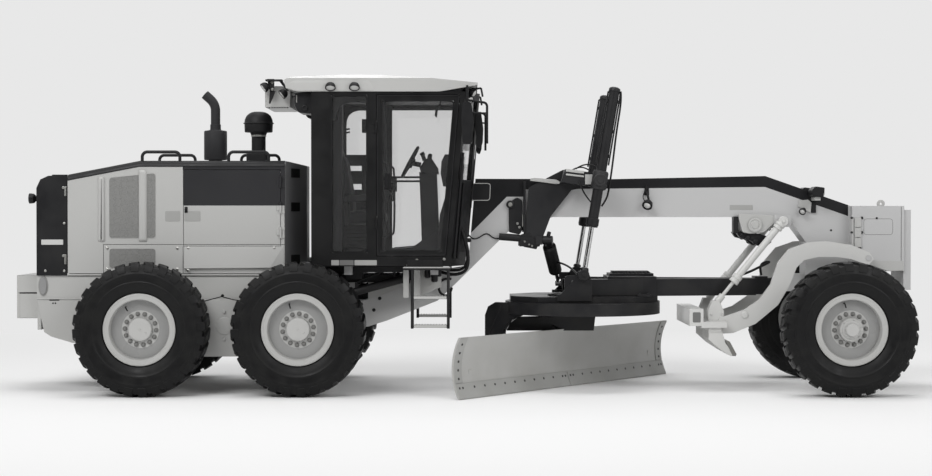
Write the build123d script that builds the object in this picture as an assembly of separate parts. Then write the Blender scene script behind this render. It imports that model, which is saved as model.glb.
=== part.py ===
from build123d import *
import os

# Motor grader, articulated between the engine and the cab. Millimetres.
# While it is drawn, X = 0 is midway between the two rear axles, +X is forward, Y = 0 is the
# centre plane, +Y is the left side, and heights are those on the standard tyre. write() then
# puts the origin on the ground under the middle of the machine's length.

# ---- driving dimensions ---------------------------------------------------------------------
WHEELBASE = 6160          # middle of the tandem to the front axle
TANDEM_SPACING = 1540     # rear axle to rear axle on one side
TRACK = 2080              # middle of a left tyre to the middle of a right one
AXLE_Z = 660              # height of every axle on the standard tyre
TYRE_R = 660              # a bigger tyre lifts the whole machine
TYRE_W = 384
BEAD_R = 305              # seat of the tyre on its rim
FLANGE_R = 353
RIM_W = 290               # over the flanges
FLANGE_T = 18
DISC_INSET = 90           # from the outer flange back to the wheel disc
DISC_T = 16
HUB_R = 122
PIVOT_X = 1000            # articulation pin
HITCH_PIN_R = 45
RAIL_OUT = 550            # rear frame, centre plane to the outside of a side rail
RAIL_T = 40
BEAM_HALF = 170           # front frame, half its width
CAB_HALF = 750
CAB_WALL = 50
CAB_FLOOR_Z = 1266
CAB_ROOF_Z = 3006         # underside of the roof
ROOF_HALF = 760
HOOD_HALF = 570
HOOD_WALL = 20
HOOD_BASE_Z = 1168
HOOD_TOP_Z = 2322
CIRCLE_R = 800
CIRCLE_BACK = 2545        # circle centre behind the front axle
BLADE_LENGTH = 3660
BLADE_HEIGHT = 600
BLADE_PLATE = 22
BLADE_ANGLE = 38.8        # degrees that the blade is turned from straight across
BALL_R = 65               # drawbar ball
CYL_R = 52                # lift cylinders
ROD_R = 25
GAP = 5                   # between pieces that move past each other
SLIP = 0.3                # between a pin and its bore, or a rod and its barrel

FRONT_X = WHEELBASE
CIRCLE_X = FRONT_X - CIRCLE_BACK
REAR_END = -2156
FRONT_END = FRONT_X + 795
MIDDLE_X = (REAR_END + FRONT_END) / 2
SIDES = (("right", -1), ("left", 1))


# ---- making shapes --------------------------------------------------------------------------
def prism(points, sweep):
    """A flat outline of 3-D points carried along the vector sweep."""
    wire = Wire.make_polygon([Vector(*p) for p in points], close=True)
    return Solid.extrude(Face(wire), Vector(*sweep))


def side_plate(outline, y0, y1, rounding=0):
    """An (x, z) outline carried across from y0 to y1, its corners rounded if asked."""
    points = [(x, y0, z) for x, z in outline]
    if not rounding:
        return prism(points, (0, y1 - y0, 0))
    wire = Wire(FilletPolyline(*points, radius=rounding, close=True).edges())
    return Solid.extrude(Face(wire), Vector(0, y1 - y0, 0))


def plan_plate(outline, z0, z1):
    """An (x, y) outline carried up from z0 to z1."""
    return prism([(x, y, z0) for x, y in outline], (0, 0, z1 - z0))


def cross_plate(outline, x0, x1):
    """A (y, z) outline carried forward from x0 to x1."""
    return prism([(x0, y, z) for y, z in outline], (x1 - x0, 0, 0))


def block(x0, x1, y0, y1, z0, z1):
    return Pos(x0, y0, z0) * Solid.make_box(x1 - x0, y1 - y0, z1 - z0)


def bar(start, end, radius):
    """A round bar from one point to another."""
    a, b = Vector(*start), Vector(*end)
    return Solid.make_cylinder(radius, (b - a).length, Plane(a, z_dir=b - a))


def along(start, end, distance):
    """The point at a distance from start towards end."""
    a, b = Vector(*start), Vector(*end)
    p = a + (b - a).normalized() * distance
    return (p.X, p.Y, p.Z)


def bent_rail(points, bend, radius):
    """A round tube along straight runs joined by arcs of one bend radius."""
    path = FilletPolyline(*points, radius=bend)
    start = Plane(path @ 0, z_dir=path % 0)
    return sweep(start * Circle(radius), path=path)


def turned(profile, centre, side):
    """A closed (radius, outward) profile turned about an axle that points out to one side."""
    wire = Wire.make_polygon([Vector(r, 0, y) for r, y in profile], close=True)
    shape = Solid.revolve(Face(wire), 360, Axis.Z)
    return Pos(*centre) * Rot(X=-90 * side) * shape


def joined(*pieces):
    """Pieces fused to one solid."""
    whole = pieces[0]
    for piece in pieces[1:]:
        whole = whole + piece
    return whole


def solids_of(piece):
    return piece.solids() if hasattr(piece, "solids") else [piece]


def write(name, *pieces):
    """One node: its solids, moved to the row's frame, in parts/NAME.step."""
    place = Pos(-MIDDLE_X, 0, TYRE_R - AXLE_Z)
    solids = [place * s for piece in pieces for s in solids_of(piece)]
    shape = solids[0] if len(solids) == 1 else Compound(solids)
    export_step(shape, os.path.join("parts", name + ".step"))


def hinge(x, y, z, out, reach_fixed, reach_moving):
    """A butt hinge on a vertical pin at (x, y), whose leaves reach back to a face at y.

    out is the side (+1 or -1 along Y) that the knuckle stands on; the leaves run along X by
    the signed reaches. Gives the fixed leaf and the moving one."""
    r, half, leaf = 12, 28, 8
    centre = y + out * r
    y_low, y_high = sorted((y, y + out * leaf))
    fixed = []
    for z0, z1 in ((z - 2 * half, z - half - SLIP), (z + half + SLIP, z + 2 * half)):
        x0, x1 = sorted((x, x + reach_fixed))
        knuckle = bar((x, centre, z0), (x, centre, z1), r)
        fixed.append(joined(knuckle, block(x0, x1, y_low, y_high, z0, z1)))
    x0, x1 = sorted((x, x + reach_moving))
    knuckle = bar((x, centre, z - half), (x, centre, z + half), r)
    moving = joined(knuckle, block(x0, x1, y_low, y_high, z - half, z + half))
    return fixed, moving


# ---- wheels ---------------------------------------------------------------------------------
def tyre(centre, side):
    half, bead = TYRE_W / 2, RIM_W / 2 - FLANGE_T
    wall = (FLANGE_R + TYRE_R) / 2 - 15
    shoulder, crown = TYRE_R - 45, TYRE_R - 10
    upper = [
        Line((FLANGE_R, 0, bead), (BEAD_R, 0, bead)),
        ThreePointArc((FLANGE_R, 0, bead), (wall, 0, half), (shoulder, 0, half - 12)),
        Line((shoulder, 0, half - 12), (crown, 0, half - 44)),
        ThreePointArc((crown, 0, half - 44), (TYRE_R, 0, 0), (crown, 0, 44 - half)),
    ]
    lower = [mirror(e, Plane.XY) for e in upper[:3]]
    seat = Line((BEAD_R, 0, bead), (BEAD_R, 0, -bead))
    section = Face(Wire([e for part in upper + lower + [seat] for e in part.edges()]))
    return Pos(*centre) * Rot(X=-90 * side) * Solid.revolve(section, 360, Axis.Z)


def rim(centre, side, hub_out):
    half, disc = RIM_W / 2, RIM_W / 2 - DISC_INSET
    inside = BEAD_R - 16
    profile = [
        (0, disc - DISC_T), (inside, disc - DISC_T), (inside, -half), (FLANGE_R, -half),
        (FLANGE_R, FLANGE_T - half), (BEAD_R, FLANGE_T - half), (BEAD_R, half - FLANGE_T),
        (FLANGE_R, half - FLANGE_T), (FLANGE_R, half), (inside + 8, half),
        (inside, half - 24), (inside, disc), (HUB_R, disc), (HUB_R - 8, disc + hub_out),
        (0, disc + hub_out),
    ]
    return turned(profile, centre, side)


REAR_WHEELS = [                       # name, axle, side
    (f"{end}_{word}", x, side)
    for end, x in (("rear", -TANDEM_SPACING / 2), ("middle", TANDEM_SPACING / 2))
    for word, side in SIDES
]
FRONT_WHEELS = [(f"front_{word}", FRONT_X, side) for word, side in SIDES]
DISC_BACK = TRACK / 2 + RIM_W / 2 - DISC_INSET - DISC_T      # inner face of a wheel disc


def wheels():
    for name, x, side in REAR_WHEELS + FRONT_WHEELS:
        centre = (x, side * TRACK / 2, AXLE_Z)
        write("tyre_" + name, tyre(centre, side))
        write("rim_" + name, rim(centre, side, 78 if x == FRONT_X else 42))


# ---- rear frame, axle and tandem cases ------------------------------------------------------
CASE_OUT = TRACK / 2 - TYRE_W / 2 - 48       # outer face of a tandem case
CASE_IN = RAIL_OUT + 22
CASE_R = 290
HITCH_PLATES = ((560, 610), (905, 955))      # lower and upper plate, bottom and top
HITCH_TIP_R = 130
ARTIC_Y = 450
ARTIC_REAR = (PIVOT_X - 250, 850)            # x and height of the rear pin
ARTIC_FRONT = (PIVOT_X + 800, 1140)
AXLE_TUBE_R = 140


def rear_frame():
    rail = [
        (-1916, HOOD_BASE_Z), (-1916, 926), (-1845, 598), (-1777, 553), (-1558, 487),
        (-1150, 487), (-450, 830), (450, 830), (560, 560), (620, 560), (620, HOOD_BASE_Z),
    ]
    pieces = [side_plate(rail, s * RAIL_OUT - (RAIL_T if s > 0 else 0),
                         s * RAIL_OUT + (RAIL_T if s < 0 else 0)) for _, s in SIDES]
    cross = (                                # x0, x1, bottom, top
        (-1916, -1880, 620, HOOD_BASE_Z), (-1040, -960, 950, 1050), (-140, -60, 950, 1050),
        (560, 620, 560, HOOD_BASE_Z), (-1150, -1110, 487, 700),
    )
    inner = RAIL_OUT - RAIL_T / 2
    pieces += [block(x0, x1, -inner, inner, z0, z1) for x0, x1, z0, z1 in cross]
    for z0, z1 in HITCH_PLATES:
        flank = [(600, 250), (PIVOT_X, HITCH_TIP_R), (PIVOT_X, -HITCH_TIP_R), (600, -250)]
        pieces.append(plan_plate(flank, z0, z1))
        pieces.append(bar((PIVOT_X, 0, z0), (PIVOT_X, 0, z1), HITCH_TIP_R))
    bottom, top = HITCH_PLATES[0][0] - 20, HITCH_PLATES[1][1] + 20
    pieces.append(bar((PIVOT_X, 0, bottom), (PIVOT_X, 0, top), HITCH_PIN_R))
    x, z = ARTIC_REAR
    for _, s in SIDES:
        pieces.append(block(600, x + 50, s * ARTIC_Y - 45, s * ARTIC_Y + 45, z - 115, z - 76))
    return joined(*pieces)


def rear_axle():
    reach = CASE_IN
    tube_part = bar((0, -reach, AXLE_Z), (0, reach, AXLE_Z), AXLE_TUBE_R)
    middle = bar((0, -150, AXLE_Z), (0, 150, AXLE_Z), 225)
    pads = [block(-150, 150, *sorted((s * (RAIL_OUT - 45), s * (RAIL_OUT + 15))), AXLE_Z, 830)
            for _, s in SIDES]
    return joined(tube_part, middle, *pads)


def tandem_case(side):
    half = TANDEM_SPACING / 2
    y0, y1 = sorted((side * CASE_IN, side * CASE_OUT))
    pieces = [block(-half, half, y0, y1, AXLE_Z - CASE_R, AXLE_Z + CASE_R - 20)]
    for x in (-half, half):
        pieces.append(bar((x, y0, AXLE_Z - 10), (x, y1, AXLE_Z - 10), CASE_R - 10))
        hub_end = side * (DISC_BACK - SLIP)
        pieces.append(bar((x, side * CASE_OUT, AXLE_Z), (x, hub_end, AXLE_Z), 165))
    return joined(*pieces)


def rear_block():
    """Counterweight with a pin hitch in a slot at its middle."""
    body = block(REAR_END, -1916, -400, 400, 728, 1165)
    slot = block(REAR_END, REAR_END + 110, -60, 60, 850, 960)
    hole = bar((REAR_END + 55, 0, 790), (REAR_END + 55, 0, 1200), 20)
    return body - slot - hole


# ---- engine hood ----------------------------------------------------------------------------
HOOD_BACK = -1606
HOOD_FRONT = PIVOT_X - 230
COWL_BACK = -1915
NOSE_START = HOOD_FRONT - 180       # where the front corners start to close in
DOOR_X = (-437, 545)                # engine door opening
DOOR_Z = (1461, 2235)
REAR_DOOR_Y = 500
REAR_DOOR_Z = (1225, 2040)
HOOD_HINGE_Z = (1600, 1850, 2110)
REAR_HINGE_Z = (1350, 1900)


def hood_form(inset):
    """The hood's outer form, or its hollow when inset by the wall."""
    top, half = HOOD_TOP_Z - inset, HOOD_HALF - inset
    front = HOOD_FRONT - inset
    low = HOOD_BASE_Z - (50 if inset else 0)
    back = HOOD_BACK - (50 if inset else 0)
    side = [(back, low), (back, 2182 - inset), (-881, top), (592, top), (front, top - 40), (front, low)]
    form = side_plate(side, -half, half)
    roof_edges = [e for e in form.edges()
                  if abs(abs(e.center().Y) - half) < 1 and e.center().Z > 2100 and e.length > 100
                  and abs(e.center().X - front) > 1 and abs(e.center().X - back) > 1]
    form = fillet(roof_edges, 60 - inset)
    nose = NOSE_START - inset * 0.4
    for _, s in SIDES:
        corner = [(nose, s * (half + 1)), (front + 1, s * (half + 1)), (front + 1, s * (140 - inset))]
        form = form - plan_plate(corner, low - 1, top + 1)
    return form


def engine_hood():
    hood = hood_form(0) - hood_form(HOOD_WALL)
    hinges = []
    for _, s in SIDES:
        y0, y1 = sorted((s * (HOOD_HALF - HOOD_WALL - 1), s * (HOOD_HALF + 1)))
        hood = hood - block(DOOR_X[0], DOOR_X[1], y0, y1, *DOOR_Z)
        for z in HOOD_HINGE_Z:
            fixed, _ = hinge(DOOR_X[1], s * HOOD_HALF, z, s, 40, -40)
            hinges += fixed
    return joined(hood, *hinges)


def hood_door(side):
    y0, y1 = sorted((side * (HOOD_HALF - HOOD_WALL), side * HOOD_HALF))
    panel = block(DOOR_X[0] + GAP, DOOR_X[1] - GAP, y0, y1, DOOR_Z[0] + GAP, DOOR_Z[1] - GAP)
    leaves = [hinge(DOOR_X[1], side * HOOD_HALF, z, side, 40, -40)[1] for z in HOOD_HINGE_Z]
    return joined(panel, *leaves)


def cowl_form(inset):
    top = 2180 - inset
    back = COWL_BACK + inset
    low = HOOD_BASE_Z - (50 if inset else 0)
    front = HOOD_BACK + (50 if inset else 0)
    side = [(back, low), (back, top - 130), (back + 40, top - 45), (back + 120, top - 8),
            (front, top), (front, low)]
    return side_plate(side, inset - HOOD_HALF, HOOD_HALF - inset)


def rear_hinge(z):
    """A hinge on the cowl's rear face, its pin at the door's left edge."""
    place = Pos(COWL_BACK, REAR_DOOR_Y, 0) * Rot(Z=90)
    fixed, moving = hinge(0, 0, z, 1, 40, -40)
    return [place * f for f in fixed], place * moving


def rear_cowl():
    cowl = cowl_form(0) - cowl_form(HOOD_WALL)
    opening = block(COWL_BACK - 1, COWL_BACK + HOOD_WALL + 1, -REAR_DOOR_Y, REAR_DOOR_Y, *REAR_DOOR_Z)
    leaves = [leaf for z in REAR_HINGE_Z for leaf in rear_hinge(z)[0]]
    return joined(cowl - opening, *leaves)


def rear_door():
    y, (z0, z1) = REAR_DOOR_Y - GAP, REAR_DOOR_Z
    panel = block(COWL_BACK, COWL_BACK + HOOD_WALL, -y, y, z0 + GAP, z1 - GAP)
    return joined(panel, *[rear_hinge(z)[1] for z in REAR_HINGE_Z])


def engine_block():
    return block(-1120, 60, -330, 330, 1050, 1850)


def exhaust_stack():
    x = -191
    z0 = HOOD_TOP_Z
    tip = (x - 105, 0, z0 + 714)
    elbow = (x, 0, z0 + 560)
    outer = joined(
        bar((x, 0, z0), (x, 0, z0 + 40), 70), bar((x, 0, z0 + 25), (x, 0, z0 + 335), 120),
        bar((x, 0, z0 + 330), elbow, 50), Pos(*elbow) * Solid.make_sphere(50, angle1=-90),
        bar(elbow, tip, 50),
    )
    bore = joined(bar((x, 0, z0 + 360), elbow, 45), Pos(*elbow) * Solid.make_sphere(45, angle1=-90),
                  bar(elbow, along(elbow, tip, 300), 45))
    return outer - bore


def pre_cleaner():
    x, y, z0 = 268, -100, HOOD_TOP_Z
    foot = block(147, 370, y - 110, y + 110, z0, z0 + 106)
    profile = [(0, 100), (73, 100), (73, 285), (110, 302), (157, 375), (157, 412), (128, 472),
               (70, 512), (0, 524)]
    wire = Wire.make_polygon([Vector(r, 0, z) for r, z in profile], close=True)
    return joined(foot, Pos(x, y, z0) * Solid.revolve(Face(wire), 360, Axis.Z))


def hood_handrails():
    rails = []
    for x0, x1, rise in ((-860, -480, 92), (12, 416, 92)):
        for _, s in SIDES:
            y = s * (HOOD_HALF - 68)
            z0, z1 = HOOD_TOP_Z, HOOD_TOP_Z + rise
            rails.append(bent_rail([(x0, y, z0), (x0, y, z1), (x1, y, z1), (x1, y, z0)], 50, 16))
    return rails


# ---- front frame ----------------------------------------------------------------------------
SADDLE_X = CIRCLE_X - 615           # back of the lift saddle, on the beam
TRUNNION = (CIRCLE_X + 133, 2126)   # pin that carries a lift cylinder, x and height
LIFT_Y = 620
LIFT_EYE = (CIRCLE_X - 25, 1175)
BALL_X = FRONT_X - 440              # drawbar ball
BALL_Z = 1080
NOSE_X = FRONT_X + 188
SHIFT_TOP = (CIRCLE_X - 368, -190, 1518)   # pins of the cylinder that swings the drawbar
SHIFT_FOOT = (CIRCLE_X - 228, 430, 1060)
SCAR_PIVOT = (FRONT_X + 330, 1340)  # scarifier arms turn here
SCAR_Y = 405
SCAR_REACH = 560                    # half the width of the toothed beam
SCAR_TOP = (FRONT_X - 520, 1715)    # upper pin of the scarifier cylinders
SCAR_CYL_Y = 330
SCAR_FOOT = (FRONT_X - 1215, 862)
CAB_BRACKETS = ((PIVOT_X + 185, PIVOT_X + 265, 880), (PIVOT_X + 1050, PIVOT_X + 1130, 1150))


def front_frame():
    back, front = PIVOT_X + 210, FRONT_X
    beam = [
        (back, 895), (back, 620), (PIVOT_X + 400, 629), (PIVOT_X + 600, 693),
        (PIVOT_X + 1114, 895), (PIVOT_X + 1299, 1070), (PIVOT_X + 1860, 1625),
        (PIVOT_X + 2300, 1756), (front - 960, 1756), (front - 400, 1690), (front - 260, 1500),
        (front + 188, 1400), (front + 200, 1871), (front - 677, 2178), (front - 2266, 2146),
        (PIVOT_X + 1505, 2150), (PIVOT_X + 1455, 1561), (PIVOT_X + 1430, 1250),
        (PIVOT_X + 1100, 1200), (PIVOT_X + 717, 1030), (PIVOT_X + 500, 940),
        (PIVOT_X + 343, 895),
    ]
    low, high = HITCH_PLATES[0][1] + GAP, HITCH_PLATES[1][0] - GAP
    tongue = joined(
        block(PIVOT_X, back + 20, -110, 110, low, high),
        bar((PIVOT_X, 0, low), (PIVOT_X, 0, high), 110),
    )
    pieces = [side_plate(beam, -BEAM_HALF, BEAM_HALF), tongue]
    for x0, x1, z0 in CAB_BRACKETS:
        pieces.append(block(x0, x1, -CAB_HALF + 150, CAB_HALF - 150, CAB_FLOOR_Z - 90, CAB_FLOOR_Z))
        pieces.append(block(x0, x1, -BEAM_HALF, BEAM_HALF, z0, CAB_FLOOR_Z - 50))
    x, z = ARTIC_FRONT
    for _, s in SIDES:
        y0, y1 = sorted((s * (BEAM_HALF - 20), s * (ARTIC_Y + 60)))
        pieces.append(block(x + 60, x + 150, y0, y1, 925, CAB_FLOOR_Z - 30))
        pieces.append(block(x - 30, x + 80, s * ARTIC_Y - 45, s * ARTIC_Y + 45, z - 90, z - 55 - SLIP))
        pieces.append(bar((x, s * ARTIC_Y, z - 70), (x, s * ARTIC_Y, z + 62), 20))
    pieces += nose_pieces()
    frame = joined(*pieces)
    frame = frame - bar((PIVOT_X, 0, 500), (PIVOT_X, 0, 1000), HITCH_PIN_R + SLIP)
    return frame - Pos(BALL_X, 0, BALL_Z) * Solid.make_sphere(BALL_R + SLIP, angle1=-90)


def nose_pieces():
    """Bolster over the axle, push block and plate, and the lugs of the tools at the front."""
    front = FRONT_X
    pieces = [
        block(front - 260, front + 260, -BEAM_HALF, BEAM_HALF, BOLSTER_FOOT_Z, 1520),
        block(NOSE_X, front + 720, -300, 300, 1300, 1870),                        # push block
        block(front + 560, front + 720, -300, 300, 1205, 1310),
        block(front + 720, FRONT_END, -270, 270, 1012, 1830),                     # push plate
        block(BALL_X, front - 240, -95, 95, BALL_Z - 90, BALL_Z + 90),            # ball socket
        block(SCAR_TOP[0] - 80, SCAR_TOP[0] + 90, -SCAR_CYL_Y + 60, SCAR_CYL_Y - 60,
              SCAR_TOP[1] - 60, SCAR_TOP[1] + 60),
    ]
    for _, s in SIDES:
        x, z = SCAR_TOP
        y0, y1 = sorted((s * (SCAR_CYL_Y - 70), s * (SCAR_CYL_Y + 25)))
        pieces.append(bar((x, y0, z), (x, y1, z), 22))
        x, z = SCAR_PIVOT
        y0, y1 = sorted((s * (SCAR_Y - 160), s * (SCAR_Y + 25)))
        pieces.append(bar((x, y0, z), (x, y1, z), 30))
    return pieces


def saddle_outline():
    x = SADDLE_X
    return [(x, 1453), (x + 161, 1453), (x + 277, 1763), (x + 490, 2033), (x + 620, 2060),
            (x + 620, 2190), (x + 470, 2235), (x + 400, 2240), (x + 51, 2060)]


def shift_axis():
    """Level direction square to the drawbar's shift cylinder, its pins lie along it."""
    axis = Vector(SHIFT_FOOT[1] - SHIFT_TOP[1], SHIFT_TOP[0] - SHIFT_FOOT[0], 0).normalized()
    return (axis.X, axis.Y, 0)


def shift_pin(start, end):
    """Two points on the shift cylinder's upper pin, by their distances from its middle."""
    return [tuple(c + d * a for c, a in zip(SHIFT_TOP, shift_axis())) for d in (start, end)]


def lift_arms():
    """Saddle over the beam, with the two arms that carry the lift cylinders."""
    x, z = TRUNNION
    pieces = [block(SADDLE_X + 400, SADDLE_X + 560, -BEAM_HALF - 20, BEAM_HALF + 20, 2178, 2235)]
    for _, s in SIDES:
        y0, y1 = sorted((s * BEAM_HALF, s * (BEAM_HALF + 45)))
        pieces.append(side_plate(saddle_outline(), y0, y1))
        y0, y1 = sorted((s * (BEAM_HALF + 40), s * (LIFT_Y - 85)))
        arm = [(x - 380, 2110), (x - 60, 2065), (x + 60, 2065), (x + 60, 2190), (x - 145, 2215), (x - 340, 2238)]
        pieces.append(side_plate(arm, y0, y1))
    sx, sy, sz = SHIFT_TOP
    pieces.append(block(SADDLE_X + 120, sx - 56, sy - 40, sy + 40, sz - 45, sz + 45))
    pieces.append(bar(*shift_pin(-75, 52), 16))
    arms = joined(*pieces)
    return arms - bar((x, -LIFT_Y, z), (x, LIFT_Y, z), 30 + SLIP)


def bolster_foot():
    """Lower part of the bolster, open across the machine for the lean bar."""
    z0, z1 = 830, BOLSTER_FOOT_Z
    foot = block(FRONT_X - 260, FRONT_X + 260, -BEAM_HALF, BEAM_HALF, z0, z1)
    return foot - block(FRONT_X - 45, FRONT_X + 45, -BEAM_HALF - 1, BEAM_HALF + 1, z0 + 20, z1 + 1)


def front_axle():
    """Beam that carries the two leaning wheel frames, bolted under the bolster."""
    reach = LEAN_Y - 45
    pieces = [
        block(FRONT_X - 90, FRONT_X + 90, -reach + 50, reach - 50, 520, 700),
        block(FRONT_X - 150, FRONT_X + 150, -BEAM_HALF + 20, BEAM_HALF - 20, 690, 830),
    ]
    for _, s in SIDES:
        y0, y1 = sorted((s * (reach - 60), s * (LEAN_Y + 45)))
        for x0, x1 in ((FRONT_X - 90, FRONT_X - 50), (FRONT_X + 50, FRONT_X + 90)):
            pieces.append(block(x0, x1, y0, y1, LEAN_Z - 55, LEAN_Z + 55))
    axle = joined(*pieces)
    for _, s in SIDES:
        ends = [(x, s * LEAN_Y, LEAN_Z) for x in (FRONT_X - 100, FRONT_X + 100)]
        axle = axle - bar(*ends, 25 + SLIP)
    return axle


# ---- leaning, steered front wheels ----------------------------------------------------------
LEAN_Y = 640
LEAN_Z = 580
LEAN_BAR_Z = 930
BOLSTER_FOOT_Z = LEAN_BAR_Z + 60
KING_Y = 800
KING_R = 30


def lean_frame(side):
    """Carrier that leans about its lower pin and holds the kingpin."""
    s = side
    y0, y1 = sorted((s * (LEAN_Y - 30), s * (KING_Y - 60)))
    web = block(FRONT_X - 45, FRONT_X + 45, y0, y1, LEAN_Z - 45, LEAN_BAR_Z + 40)
    pin = bar((FRONT_X - 90, s * LEAN_Y, LEAN_Z), (FRONT_X + 90, s * LEAN_Y, LEAN_Z), 25)
    y0, y1 = sorted((s * (KING_Y - 70), s * KING_Y))
    pieces = [web, pin]
    for z in (AXLE_Z - 170, AXLE_Z + 120):
        pieces.append(block(FRONT_X - 45, FRONT_X + 45, y0, y1, z, z + 50))
        pieces.append(bar((FRONT_X, s * KING_Y, z), (FRONT_X, s * KING_Y, z + 50), 45))
    frame = joined(*pieces)
    king = bar((FRONT_X, s * KING_Y, AXLE_Z - 200), (FRONT_X, s * KING_Y, AXLE_Z + 200), KING_R + SLIP)
    notch = block(FRONT_X - 16 - GAP, FRONT_X + 16 + GAP, s * LEAN_Y - 60, s * LEAN_Y + 60,
                  LEAN_BAR_Z - 60, LEAN_BAR_Z + 60)
    bolt = bar((FRONT_X - 45, s * LEAN_Y, LEAN_BAR_Z), (FRONT_X + 45, s * LEAN_Y, LEAN_BAR_Z), 16)
    return joined(frame - king - notch, bolt)


def lean_bar():
    """Bar across the machine that keeps the two wheels leaning together."""
    reach = LEAN_Y
    bar_part = block(FRONT_X - 16, FRONT_X + 16, -reach, reach, LEAN_BAR_Z - 30, LEAN_BAR_Z + 30)
    for _, s in SIDES:
        bar_part = joined(bar_part, bar((FRONT_X - 16, s * reach, LEAN_BAR_Z), (FRONT_X + 16, s * reach, LEAN_BAR_Z), 38))
    for _, s in SIDES:
        bar_part = bar_part - bar((FRONT_X - 20, s * reach, LEAN_BAR_Z), (FRONT_X + 20, s * reach, LEAN_BAR_Z), 16 + SLIP)
    return bar_part


def knuckle(side):
    """Steering knuckle: kingpin, body and the spindle that carries the wheel."""
    s = side
    low, high = AXLE_Z - 120 + GAP, AXLE_Z + 120 - GAP
    pieces = [
        bar((FRONT_X, s * KING_Y, AXLE_Z - 165), (FRONT_X, s * KING_Y, AXLE_Z + 165), KING_R),
        bar((FRONT_X, s * KING_Y, low), (FRONT_X, s * KING_Y, high), 48),
        bar((FRONT_X, s * KING_Y, AXLE_Z), (FRONT_X, s * (DISC_BACK - SLIP), AXLE_Z), 70),
        bar((FRONT_X, s * (KING_Y + 140), AXLE_Z), (FRONT_X, s * (DISC_BACK - SLIP), AXLE_Z), 120),
    ]
    return joined(*pieces)


# ---- cylinders ------------------------------------------------------------------------------
def cylinder_barrel(top, foot, out, length, radius, rod, eye_axis=None, eye_width=60):
    """A barrel from `out` behind the pin at top towards foot, bored for its rod."""
    start, end = along(top, foot, -out), along(top, foot, length)
    barrel = joined(bar(start, end, radius), bar(along(top, foot, length - 60), end, radius + 7))
    if eye_axis:
        half = Vector(*eye_axis) * (eye_width / 2)
        a, b = Vector(*top) - half, Vector(*top) + half
        barrel = joined(barrel, bar((a.X, a.Y, a.Z), (b.X, b.Y, b.Z), radius))
    return barrel - bar(along(top, foot, 60 - out if out > 60 else 70), along(top, foot, length + 1), rod + SLIP)


def cylinder_rod(top, foot, start, radius, eye_axis, eye_width, eye_r):
    """A rod from `start` below the upper pin to an eye at the foot."""
    half = Vector(*eye_axis) * (eye_width / 2)
    a, b = Vector(*foot) - half, Vector(*foot) + half
    return joined(bar(along(top, foot, start), foot, radius), bar((a.X, a.Y, a.Z), (b.X, b.Y, b.Z), eye_r))


def artic_ends(side):
    return ((ARTIC_FRONT[0], side * ARTIC_Y, ARTIC_FRONT[1]), (ARTIC_REAR[0], side * ARTIC_Y, ARTIC_REAR[1]))


def articulation_barrel(side):
    top, foot = artic_ends(side)
    barrel = cylinder_barrel(top, foot, 0, 640, 42, 22, (0, 0, 1), 110)
    return barrel - bar((top[0], top[1], top[2] - 100), (top[0], top[1], top[2] + 100), 20 + SLIP)


def articulation_rod(side):
    top, foot = artic_ends(side)
    return cylinder_rod(top, foot, 350, 22, (0, 0, 1), 50, 42)


def lift_points(side):
    return (TRUNNION[0], side * LIFT_Y, TRUNNION[1]), (LIFT_EYE[0], side * LIFT_Y, LIFT_EYE[1])


def lift_barrels():
    made = []
    for _, s in SIDES:
        top, foot = lift_points(s)
        barrel = cylinder_barrel(top, foot, 930, 465, CYL_R, ROD_R)
        collar = bar(along(top, foot, -45), along(top, foot, 45), CYL_R + 22)
        pin = bar((top[0], s * (LIFT_Y - 60), top[2]), (top[0], s * (LIFT_Y - 150), top[2]), 30)
        solid_collar = collar - bar(along(top, foot, -100), along(top, foot, 100), CYL_R - 5)
        made.append(joined(barrel, solid_collar, pin))
    return made


def lift_rods():
    made = []
    for _, s in SIDES:
        top, foot = lift_points(s)
        made.append(cylinder_rod(top, foot, 240, ROD_R, (0, 1, 0), 60, 42))
    return made


def shift_barrel():
    """Barrel of the cylinder that sets the drawbar's sideways place."""
    barrel = cylinder_barrel(SHIFT_TOP, SHIFT_FOOT, 0, 500, 38, 20, shift_axis(), 90)
    return barrel - bar(*shift_pin(-100, 100), 16 + SLIP)


def shift_rod():
    return cylinder_rod(SHIFT_TOP, SHIFT_FOOT, 290, 20, shift_axis(), 56, 36)


def scarifier_ends(side):
    return (SCAR_TOP[0], side * SCAR_CYL_Y, SCAR_TOP[1]), (SCAR_FOOT[0], side * SCAR_CYL_Y, SCAR_FOOT[1])


def scarifier_barrels():
    made = []
    for _, s in SIDES:
        top, foot = scarifier_ends(s)
        barrel = cylinder_barrel(top, foot, 0, 800, 35, 18, (0, 1, 0), 50)
        made.append(barrel - bar((top[0], -500, top[2]), (top[0], 500, top[2]), 22 + SLIP))
    return made


def scarifier_rods():
    made = []
    for _, s in SIDES:
        top, foot = scarifier_ends(s)
        made.append(cylinder_rod(top, foot, 400, 18, (0, 1, 0), 44, 34))
    return made


# ---- drawbar, circle and blade --------------------------------------------------------------
RING_Z = (765, 890)
DRAW_PLATE_Z = (890.3, 950)


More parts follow.
